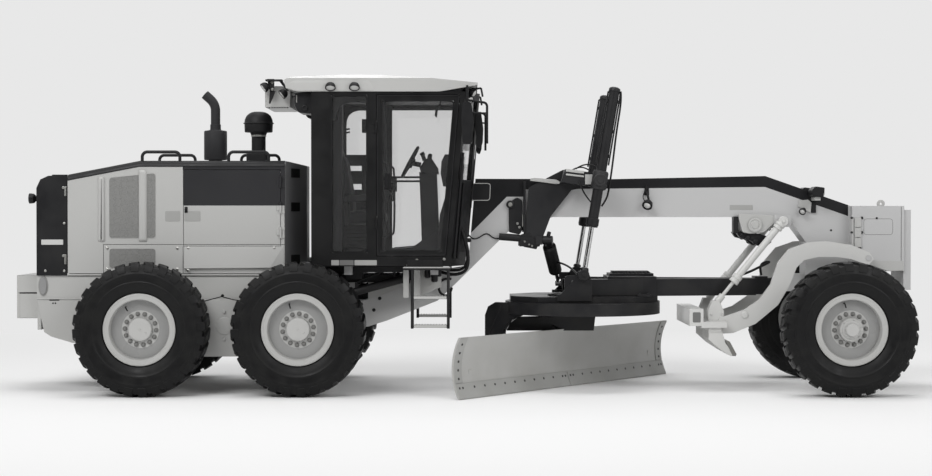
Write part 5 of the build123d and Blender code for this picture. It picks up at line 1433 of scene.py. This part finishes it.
    # Hoses from the saddle across to the lift cylinder.
    for level, spots in (("upper", [(3.520, 0.44, 2.245), (3.545, 0.47, 2.262), (3.60, 0.52, 2.285),
            (3.665, 0.555, 2.288), (3.715, 0.57, 2.262)]),
            ("lower", [(3.545, 0.545, 2.115), (3.565, 0.575, 2.06), (3.60, 0.585, 1.99),
            (3.645, 0.575, 1.93), (3.672, 0.57, 1.90)])):
        points = [at(x, side * along, z) for x, along, z in spots]
        cord(f"saddle_hose_{level}_{word}", points, 0.0075)

    # Lead along the beam below the cab.
    lead = [at(2.43, side * 0.178, 1.575), at(2.47, side * 0.182, 1.530), at(2.53, side * 0.182, 1.535),
        at(2.585, side * 0.182, 1.575), at(2.63, side * 0.182, 1.590), at(2.68, side * 0.182, 1.545),
        at(2.735, side * 0.182, 1.530), at(2.755, side * 0.180, 1.54)]
    cord("beam_lead_" + word, lead, 0.006)


def under_cab():
    """Hose loops before the cab, the light box under its landing, and the tank's fittings."""
    outer = [(2.357, 0.60, 1.66), (2.386, 0.605, 1.56), (2.425, 0.605, 1.42), (2.435, 0.60, 1.29),
        (2.400, 0.58, 1.205), (2.31, 0.54, 1.175), (2.215, 0.48, 1.18), (2.160, 0.42, 1.20)]
    runs = (
        ("cab_hose_outer", 0.016, [(x, -y, z) for x, y, z in outer]),
        ("cab_hose_inner", 0.014, [
            (2.388, -0.52, 1.62), (2.408, -0.52, 1.52), (2.424, -0.52, 1.40), (2.420, -0.52, 1.29),
            (2.370, -0.50, 1.225), (2.28, -0.45, 1.215), (2.19, -0.38, 1.225), (2.155, -0.34, 1.23)]),
        ("cab_hose_left", 0.016, outer),
        ("frame_loop", 0.013, [
            (2.250, -0.187, 1.12), (2.225, -0.215, 1.125), (2.160, -0.225, 1.115), (2.125, -0.225, 1.05),
            (2.135, -0.225, 0.985), (2.190, -0.225, 0.945), (2.245, -0.215, 0.965), (2.262, -0.19, 1.03)]),
    )
    for name, radius, spots in runs:
        points = [at(*spot) for spot in spots]
        cord(name, points, radius)
    box = Work()
    for side in (-1, 1):
        box.plate(panel(1.778, 1.835, 0.945, 1.232, 0.008, 2), side * 0.50, side * 0.62)
        box.plate(panel(1.885, 1.948, 0.950, 1.225, 0.008, 2), side * 0.47, side * 0.58)
        box.plate(rounded_outline([(1.945, 0.955), (2.160, 1.05), (2.160, 1.225), (1.945, 1.225)], 0.010,
            2), side * 0.44, side * 0.455)
        box.plate([(1.40, 0.88), (1.77, 0.88), (1.77, 1.09), (1.40, 1.09)], side * 0.12, side * 0.168)
        box.block(1.790, 2.255, side * 0.752, side * 1.0, 1.2545, 1.262)
    box.piece("landing_plates", LIGHT_PAINT, bevel=0.003)
    treads = Work()
    for side in (-1, 1):
        for z in (0.690, 0.972):
            treads.block(1.896, 2.219, side * 0.862, side * 0.989, z - 0.020, z + 0.004)
            for k in range(11):
                x = 1.912 + k * 0.0285
                treads.ribs([(x + a, z + b) for a, b in ((0, 0.004), (0.014, 0.004), (0.012, 0.010),
                    (0.002, 0.010))], sorted((side * 0.868, side * 0.983)))
    treads.piece("ladder_treads", LIGHT_PAINT, bevel=0.001)
    fittings = Work()
    for side in (-1, 1):
        for x, z, r, long in ((2.02, 1.21, 0.03, 0.09), (2.09, 1.20, 0.034, 0.12),
                (2.14, 1.205, 0.022, 0.07)):
            fittings.button((r, long, r * 0.7, long + 0.01), at(x, side * 0.50, z + 0.03),
                Vector((0, 0, -1)), 20)
        for x, z in ((1.22, 0.835), (1.33, 0.86), (1.46, 0.80), (1.255, 0.74), (1.52, 0.92)):
            fittings.bolt(at(x, side * 0.17, z), sideways(side), 0.026, 0.012)
    fittings.block(1.14, 1.78, -0.32, 0.32, 1.09, 1.17)
    fittings.block(1.36, 1.78, -0.50, 0.50, 1.198, 1.255)
    fittings.block(1.20, 1.36, -0.50, 0.50, 1.13, 1.255)
    fittings.piece("frame_fittings", BLACK_PAINT, bevel=0.004)

    # Small work lamps on the roof's front corners.
    lamps, lenses = Work(), Work()
    for side in (-1, 1):
        for x, z, aim in ((2.475, 3.000, (0.80, side * 0.35, -0.48)),
                (2.440, 2.935, (0.55, side * 0.65, -0.52))):
            way = Vector(aim).normalized()
            middle = at(x, side * 0.66, z)
            lamps.turned([(0, -0.038), (0.020, -0.036), (0.036, -0.018), (0.042, 0.006), (0.043, 0.026),
                (0.037, 0.026), (0.035, 0.018), (0, 0.016)], middle, way, 24)
            lenses.turned([(0, 0.017), (0.036, 0.019), (0.026, 0.027), (0, 0.030)], middle, way, 24)
        lamps.block(2.40, 2.43, side * 0.62, side * 0.70, 2.90, 3.04)
        lamps.rod(at(2.415, side * 0.66, 3.03), at(2.56, side * 0.66, 3.045), 0.010, 12)
        lamps.rod(at(2.56, side * 0.66, 3.045), at(2.575, side * 0.70, 2.96), 0.010, 12)
    lamps.piece("roof_front_lamps", BLACK_PLASTIC, bevel=0.0015)
    lenses.piece("roof_front_lenses", LENS, smooth=60)


# ---- cylinders, drawbar and circle ----------------------------------------------------------
RAM_SIDE = 0.62             # the two lift cylinders stand this far from the centre plane
LIFT_TOP, LIFT_EYE = (3.748, 2.126), (3.590, 1.175)


def lift_line(side):
    """Trunnion and eye of a lift cylinder, and the way from the one to the other."""
    top, eye = (at(x, side * RAM_SIDE, z) for x, z in (LIFT_TOP, LIFT_EYE))
    return top, eye, (eye - top).normalized()


def lift_fittings():
    """Pivot housings, heads, steel lines and hoses of the two blade lift cylinders."""
    housings, pipes, heads = Work(), Work(), Work()
    for word, side in SIDES:
        (top, _, way), out = lift_line(side), sideways(side)
        housings.turned([(0.054, -0.098), (0.070, -0.092), (0.079, -0.075), (0.079, 0.075), (0.070, 0.092),
            (0.054, 0.098)], top, way, 32)
        housings.turned([(0.0, 0.05), (0.064, 0.05), (0.064, 0.108), (0.054, 0.116), (0.054, 0.112),
            (0.030, 0.112), (0.030, 0.120), (0, 0.120)], top, out, 32)
        housings.turned([(0, 0.05), (0.05, 0.05), (0.05, 0.095), (0, 0.095)], top, -out, 24)
        heads.turned([(0.053, 0.385), (0.064, 0.390), (0.064, 0.455), (0.058, 0.462), (0.058, 0.474),
            (0.030, 0.478), (0.030, 0.465), (0.053, 0.465)], top, way, 32)
        heads.turned([(0, -0.945), (0.030, -0.945), (0.052, -0.934), (0.058, -0.925), (0.058, -0.90),
            (0.052, -0.895), (0, -0.895)], top, way, 32)
        for beside in (-0.062, 0.062):
            offset = Vector((way.z, 0, -way.x)) * beside
            a, b = (top - way * along + offset + out * 0.012 for along in (0.89, 0.16))
            pipes.rod(a, b, 0.0085, 12)
            pipes.rod(a, a - offset * 0.6, 0.0085, 12)
            for d in (0.80, 0.50, 0.25):
                spot = top - way * d + offset * 0.9 + out * 0.012
                pipes.rod(spot - way * 0.016, spot + way * 0.016, 0.014, 12)
        tube = [top + way * d + Vector((dx, side * 0.012, 0)) for d, dx in ((-0.90, 0.062), (-0.82, 0.086),
            (-0.50, 0.086), (-0.14, 0.104), (0.12, 0.108), (0.20, 0.098), (0.265, 0.062))]
        cord("lift_hose_" + word, tube, 0.010, "lift_barrels")
    housings.piece("lift_housings", CAST_PAINT, "lift_barrels", bevel=0.003)
    heads.piece("lift_heads", BLACK_PAINT, "lift_barrels", bevel=0.0015)
    pipes.piece("lift_pipes", BLACK_PAINT, "lift_barrels")
    eyes = Work()
    for side in (-1, 1):
        _, foot, way = lift_line(side)
        eyes.turned([(0, -0.041), (0.052, -0.041), (0.056, -0.034), (0.056, 0.034), (0.052, 0.041),
            (0, 0.041)], foot, sideways(side), 32)
        eyes.turned([(0.024, -0.078), (0.036, -0.074), (0.043, -0.05), (0.024, -0.045)], foot, way, 24)
        eyes.bolt(foot + Vector((0, side * 0.041, 0)), sideways(side), 0.034, 0.014)
    eyes.piece("lift_eyes", BLACK_PAINT, "lift_rods", bevel=0.003)


def shift_fittings():
    """The swing cylinder in its ribbed sleeve, with the hose that loops off it."""
    top, foot = at(3.247, -0.19, 1.518), at(3.387, 0.43, 1.06)
    way = (foot - top).normalized()
    sleeve = Work()
    profile = [(0.039, 0.105), (0.052, 0.110)]
    for k in range(18):
        d = 0.115 + k * 0.025
        profile += [(0.066, d), (0.069, d + 0.008), (0.065, d + 0.014), (0.058, d + 0.019)]
    profile += [(0.052, 0.572), (0.039, 0.576)]
    sleeve.turned(profile, top, way, 24)
    sleeve.piece("swing_sleeve", HOSE_RUBBER, "shift_barrel", smooth=50)
    clevis = Work()
    clevis.turned([(0, -0.056), (0.045, -0.05), (0.045, 0.05), (0, 0.056)], top, Vector((0.976, -0.220, 0)),
        24)
    clevis.rod(top + Vector((0.0, -0.01, 0.02)), top + Vector((0.015, -0.03, 0.085)), 0.020, 14)
    clevis.piece("swing_clevis", BLACK_PAINT, "shift_barrel", bevel=0.003)
    tube = [at(3.337, 0.078, 1.288), at(3.388, 0.020, 1.281), at(3.444, -0.150, 1.259),
        at(3.488, -0.320, 1.228), at(3.520, -0.460, 1.192), at(3.546, -0.550, 1.162)]
    cord("swing_hose", tube, 0.0105, "shift_barrel")


def drawbar_fittings():
    """Turning motor, guide shoes, valve cover, edge strips and feed hose of the drawbar."""
    iron = Work()
    iron.turned([(0, -0.03), (0.135, -0.03), (0.150, -0.015), (0.150, 0.005), (0.120, 0.015), (0, 0.015)],
        at(CIRCLE_X - 0.22, -0.20, 0.965), UP, 32)
    for side in (-1, 1):
        shoe = CIRCLE_X + 0.60
        iron.block(shoe - 0.07, shoe + 0.07, side * 0.39, side * 0.46, 0.949, 0.972)
        for x in (shoe - 0.045, shoe + 0.045):
            iron.bolt(at(x, side * 0.425, 0.972), UP, 0.026, 0.014)
        iron.button((0.060, 0.014, 0.048, 0.020), at(3.590, side * 0.585, 1.165), sideways(side), 28)
        iron.plate([(3.40, 1.03), (3.45, 1.03), (3.47, 1.12), (3.52, 1.135), (3.52, 1.168), (3.42, 1.168),
            (3.40, 1.14)], side * 0.555, side * 0.582)
    iron.piece("drawbar_iron", BLACK_PAINT, "drawbar", bevel=0.004)
    cover = Work()
    cover.block(3.880, 4.335, -0.19, 0.19, 1.120, 1.178)
    for k in range(8):
        cover.button((0.014, 0.012, 0.010, 0.016), at(4.04 + k * 0.036, -0.15 + 0.012 * (k % 3), 1.177), UP,
            12)
    cover.piece("valve_cover", BLACK_PAINT, "drawbar", bevel=0.004)
    edge = Work()
    for side in (-1, 1):
        edge.plate([(3.56, side * 0.395), (5.40, side * 0.112), (5.40, side * 0.118), (3.56, side * 0.434)],
            0.950, 0.966, "z")
    edge.piece("drawbar_edge", CAST_PAINT, "drawbar")
    tube = [at(5.201, -0.100, 1.142), at(5.323, -0.090, 1.183), at(5.444, -0.080, 1.242),
        at(5.577, -0.070, 1.303), at(5.430, -0.060, 1.275), at(5.465, -0.05, 1.155)]
    cord("drawbar_hose", tube, 0.013, "drawbar")


CIRCLE_X = 3.615
BLADE_TURN = Matrix.Rotation(radians(-38.8), 3, "Z")


def circle_fittings():
    """Inside teeth of the turning ring and stiffeners on the blade arms."""
    teeth = Work()
    centre = at(CIRCLE_X, 0, 0)
    for a in around(72):
        ring = []
        for radius, half in ((0.634, -0.017), (0.634, 0.017), (0.598, 0.008), (0.598, -0.008)):
            b = a + half / radius
            ring.append(Vector((radius * cos(b), radius * sin(b), 0)))
        teeth.loft([[centre + p + Vector((0, 0, z)) for p in ring] for z in (0.834, 0.886)])
    teeth.piece("circle_teeth", WORN_STEEL, "circle")
    stiff = Work()
    for side in (-1, 1):
        y = side * 0.65
        for x0, z0, x1, z1 in ((-0.735, 0.50, -0.560, 0.84), (-0.70, 0.30, -0.45, 0.30)):
            a, b = (centre + BLADE_TURN @ Vector((x, y - side * 0.002, z)) for x, z in ((x0, z0), (x1, z1)))
            stiff.rod(a, b, 0.009, 8)
        spot = centre + BLADE_TURN @ Vector((-0.34, y, 0.33))
        out = BLADE_TURN @ sideways(side)
        stiff.button((0.058, 0.012, 0.046, 0.02), spot, out, 28)
        stiff.bolt(spot + out * 0.02, out, 0.04, 0.016)
    stiff.plate([(2.827, 0.583), (2.865, 0.664), (2.946, 0.718), (3.745, 0.736), (3.727, 0.583)], -0.10,
        0.10)
    stiff.piece("arm_stiffeners", BLACK_PAINT, "circle", bevel=0.002)


def on_blade(y, z, out=0.0):
    """Point on the blade's hollow front at y along it and z up it, moved out by a distance."""
    # The front is the circle through foot, deepest point and top, as the solid has it.
    ax, az, bx, bz = -0.075, 0.26, 0.010, 0.600
    d = 2 * (ax * bz - bx * az)
    ux = ((ax * ax + az * az) * bz - (bx * bx + bz * bz) * az) / d
    uz = ((bx * bx + bz * bz) * ax - (ax * ax + az * az) * bx) / d
    radius = (ux * ux + uz * uz) ** 0.5
    x = ux - (radius * radius - (z - uz) ** 2) ** 0.5
    normal = Vector((ux - x, 0, uz - z)).normalized()
    spot = Vector((x - 0.097, y - 0.07, z)) + normal * out
    return at(CIRCLE_X, 0, 0) + BLADE_TURN @ spot, BLADE_TURN @ normal


def blade_fittings():
    """Cutting edges in two lengths, end bits, plough bolts and joint lines on the blade."""
    half = 1.829
    edge, bolts = Work(), Work()

    def sheet(y0, y1, z0, z1, thick, rows):
        """A plate that follows the blade's hollow from z0 to z1."""
        rings = []
        for y in (y0, y1):
            heights = [z0 + (z1 - z0) * k / rows for k in range(rows + 1)]
            ring = [on_blade(y, z, -0.002)[0] for z in heights]
            ring += [on_blade(y, z, thick)[0] for z in heights[::-1]]
            rings.append(ring)
        edge.loft(rings)

    sheet(-half + 0.002, -0.008, 0.004, 0.150, 0.011, 4)
    sheet(0.008, half - 0.002, 0.004, 0.150, 0.011, 4)
    for s in (-1, 1):
        sheet(*sorted((s * (half - 0.001), s * (half - 0.115))), 0.155, 0.592, 0.009, 12)
    edge.piece("cutting_edges", EDGE_PAINT, "moldboard", bevel=0.0015, smooth=30)
    foot_row = [half - 0.045, half - 0.095, 0.045, 0.095] + [0.26 + k * 0.162 for k in range(9)]
    end_row = [(half - 0.058, 0.195 + k * 0.085) for k in range(5)]
    spots = [(s * y, z) for y, z in [(y, 0.105) for y in foot_row] + end_row for s in (-1, 1)]
    for y, z in spots:
        spot, normal = on_blade(y, z, 0.009)
        bolts.button((0.0125, 0.0035, 0.009, 0.0045), spot, normal, 12)
    bolts.piece("plough_bolts", BOLT_DARK, "moldboard")
    back = Work()
    for y in (-0.10, 0.14):
        back.turned([(0, 0), (0.020, 0), (0.020, 0.035), (0.030, 0.04), (0.030, 0.055), (0, 0.055)],
            on_blade(y, 0.592, -0.055)[0], UP, 14)
    place = [on_blade(y, 0.575, d)[0] for y, d in ((-0.22, -0.03), (-0.22, -0.09), (0.26, -0.09),
        (0.26, -0.03))]
    back.loft([[p + Vector((0, 0, z)) for p in place] for z in (-0.02, 0.025)])
    back.piece("blade_clamp", BLACK_PAINT, "moldboard", bevel=0.003)


def tool_fittings():
    """Glands, eyes, teeth tips and box ends of the front tool."""
    rings, eyes = Work(), Work()
    for side in (-1, 1):
        top, foot = at(5.640, side * 0.33, 1.715), at(4.945, side * 0.33, 0.862)
        way, out = (foot - top).normalized(), sideways(side)
        rings.turned([(0.036, 0.03), (0.052, 0.032), (0.052, 0.060), (0.042, 0.063), (0.042, 0.070),
            (0.050, 0.073), (0.050, 0.100), (0.036, 0.104)], top, way, 28)
        rings.turned([(0.036, 0.715), (0.050, 0.72), (0.050, 0.755), (0.044, 0.758), (0.044, 0.765),
            (0.050, 0.768), (0.050, 0.806), (0.020, 0.809), (0.020, 0.80), (0.036, 0.80)], top, way, 28)
        rings.turned([(0, -0.028), (0.046, -0.028), (0.050, -0.02), (0.050, 0.020), (0.046, 0.028),
            (0, 0.028)], top, out, 28)
        rings.bolt(top + out * 0.028, out, 0.030, 0.012)
        eyes.turned([(0, -0.026), (0.044, -0.026), (0.044, 0.026), (0, 0.026)], foot, out, 28)
        eyes.turned([(0.018, -0.13), (0.034, -0.125), (0.038, -0.04), (0.018, -0.035)], foot, way, 20)
    rings.piece("tool_ram_glands", TOOL_PAINT, "scarifier_barrels", bevel=0.002)
    eyes.piece("tool_ram_eyes", TOOL_PAINT, "scarifier_rods", bevel=0.002)
    tips, iron, holes = Work(), Work(), Work()
    for n in range(11):
        y = (n - 5) * 0.10
        tips.plate([(5.020, 0.520), (5.100, 0.355), (5.132, 0.352), (5.140, 0.372), (5.072, 0.500)],
            y - 0.019, y + 0.019)
        iron.block(4.855, 4.985, y - 0.026, y + 0.026, 0.60, 0.672)
    tips.piece("tool_tips", WORN_STEEL, "scarifier", bevel=0.003)
    for side in (-1, 1):
        out = sideways(side)
        iron.button((0.036, 0.012, 0.028, 0.018), at(5.235, side * 0.427, 0.765), out, 24)
        iron.plate(panel(4.672, 4.790, 0.672, 0.818, 0.018), side * 0.545, side * 0.5585)
        for x, z in ((4.90, 0.82), (5.01, 0.82)):
            iron.bolt(at(x, side * 0.388, z - 0.05), out, 0.02, 0.01)
        # Inside each box end a mid-grey plate stands for its open end: painted shade.
        holes.plate(panel(4.692, 4.772, 0.695, 0.798, 0.012), side * 0.5575, side * 0.5605)
    iron.piece("tool_iron", TOOL_PAINT, "scarifier", bevel=0.004)
    holes.piece("tool_box_end_hole_shade", HOLE_SHADE_AND_LABEL_GREY, "scarifier")


TAIL_LENS = moulded_plastic("tail_lens", "8d8d8d", 0.2)
# Grey of the push block's joint lines and of the painted shadow in its front channel.
SEAM_AND_SHADE_GREY = satin_black("soft_seam_and_shade", "6e6e6d", "7a7a78", 0.7)
EDGE_PAINT = enamel("edge_enamel", base="a8a8a6", dusty="949490", roughness=0.42)
BOLT_DARK = satin_black("bolt_black", "3a3a3a", "4c4b49", 0.5)

for pair in SIDES:
    chassis(*pair)
    artic_fittings(*pair)
    frame_side(*pair)
under_cab()
lift_fittings()
shift_fittings()
drawbar_fittings()
circle_fittings()
blade_fittings()
tool_fittings()


# ---- paint and finish of the solid pieces ---------------------------------------------------
def row(x0, x1, y0=None, y1=None, z0=None, z1=None):
    """A box to mask, from lengths measured as the machine is drawn."""
    return ((None if x0 is None else x0 - MIDDLE, y0, z0), (None if x1 is None else x1 - MIDDLE, y1, z1))


# Dark boxes: the black upper panels of the hood's sides. Ahead of x 0.587 the slanting front corner is
# painted a mid grey, lighter than its black: painted light on that corner.
HOOD_PAINT = enamel("hood_enamel", [row(-0.438, 0.587, None, -0.56, 1.872, 2.29),
    row(-0.438, 0.587, 0.56, None, 1.872, 2.29)], painted_shading_boxes=[row(0.587, None)], grey="6a6a6b", dark="2d2d2f")
BEAM_PAINT = enamel("beam_enamel", base="bababa", outline=beam_stripe)
SOLID_PAINT = {
    LIGHT_PAINT: "rear_frame rear_axle tandem_cases rear_block bolster_foot front_axle cab_roof "
                 "lean_frame lean_bar",
    HOOD_PAINT: "engine_hood hood_door",
    BLACK_PAINT: "rear_cowl rear_door hood_handrails ladders articulation_barrel drawbar "
                 "lift_barrels shift_barrel circle blade_carriage",
    BLACK_PLASTIC: "pre_cleaner steering_console mirrors",
    CAB_PAINT: "cab_shell cab_door",
    CAST_PAINT: "engine_block knuckle",
    TOOL_PAINT: "scarifier scarifier_barrels scarifier_rods",
    CHROME: "articulation_rod lift_rods shift_rod",
    GLASS: "cab_glass door_glass",
    HEAT_BLACK: "exhaust_stack", BEAM_PAINT: "front_frame", ARM_PAINT: "lift_arms", SEAT_CLOTH: "seat",
    BLADE_PAINT: "moldboard", TYRE_RUBBER: "tyre", RIM_PAINT: "rim",
}
PAINT_OF = {stem: coat for coat, stems in SOLID_PAINT.items() for stem in stems.split()}
for name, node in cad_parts.items():
    stem = max((s for s in PAINT_OF if (name + "_").startswith(s + "_")), key=len)
    for slot in node.material_slots:
        slot.link, slot.material = "OBJECT", PAINT_OF[stem]
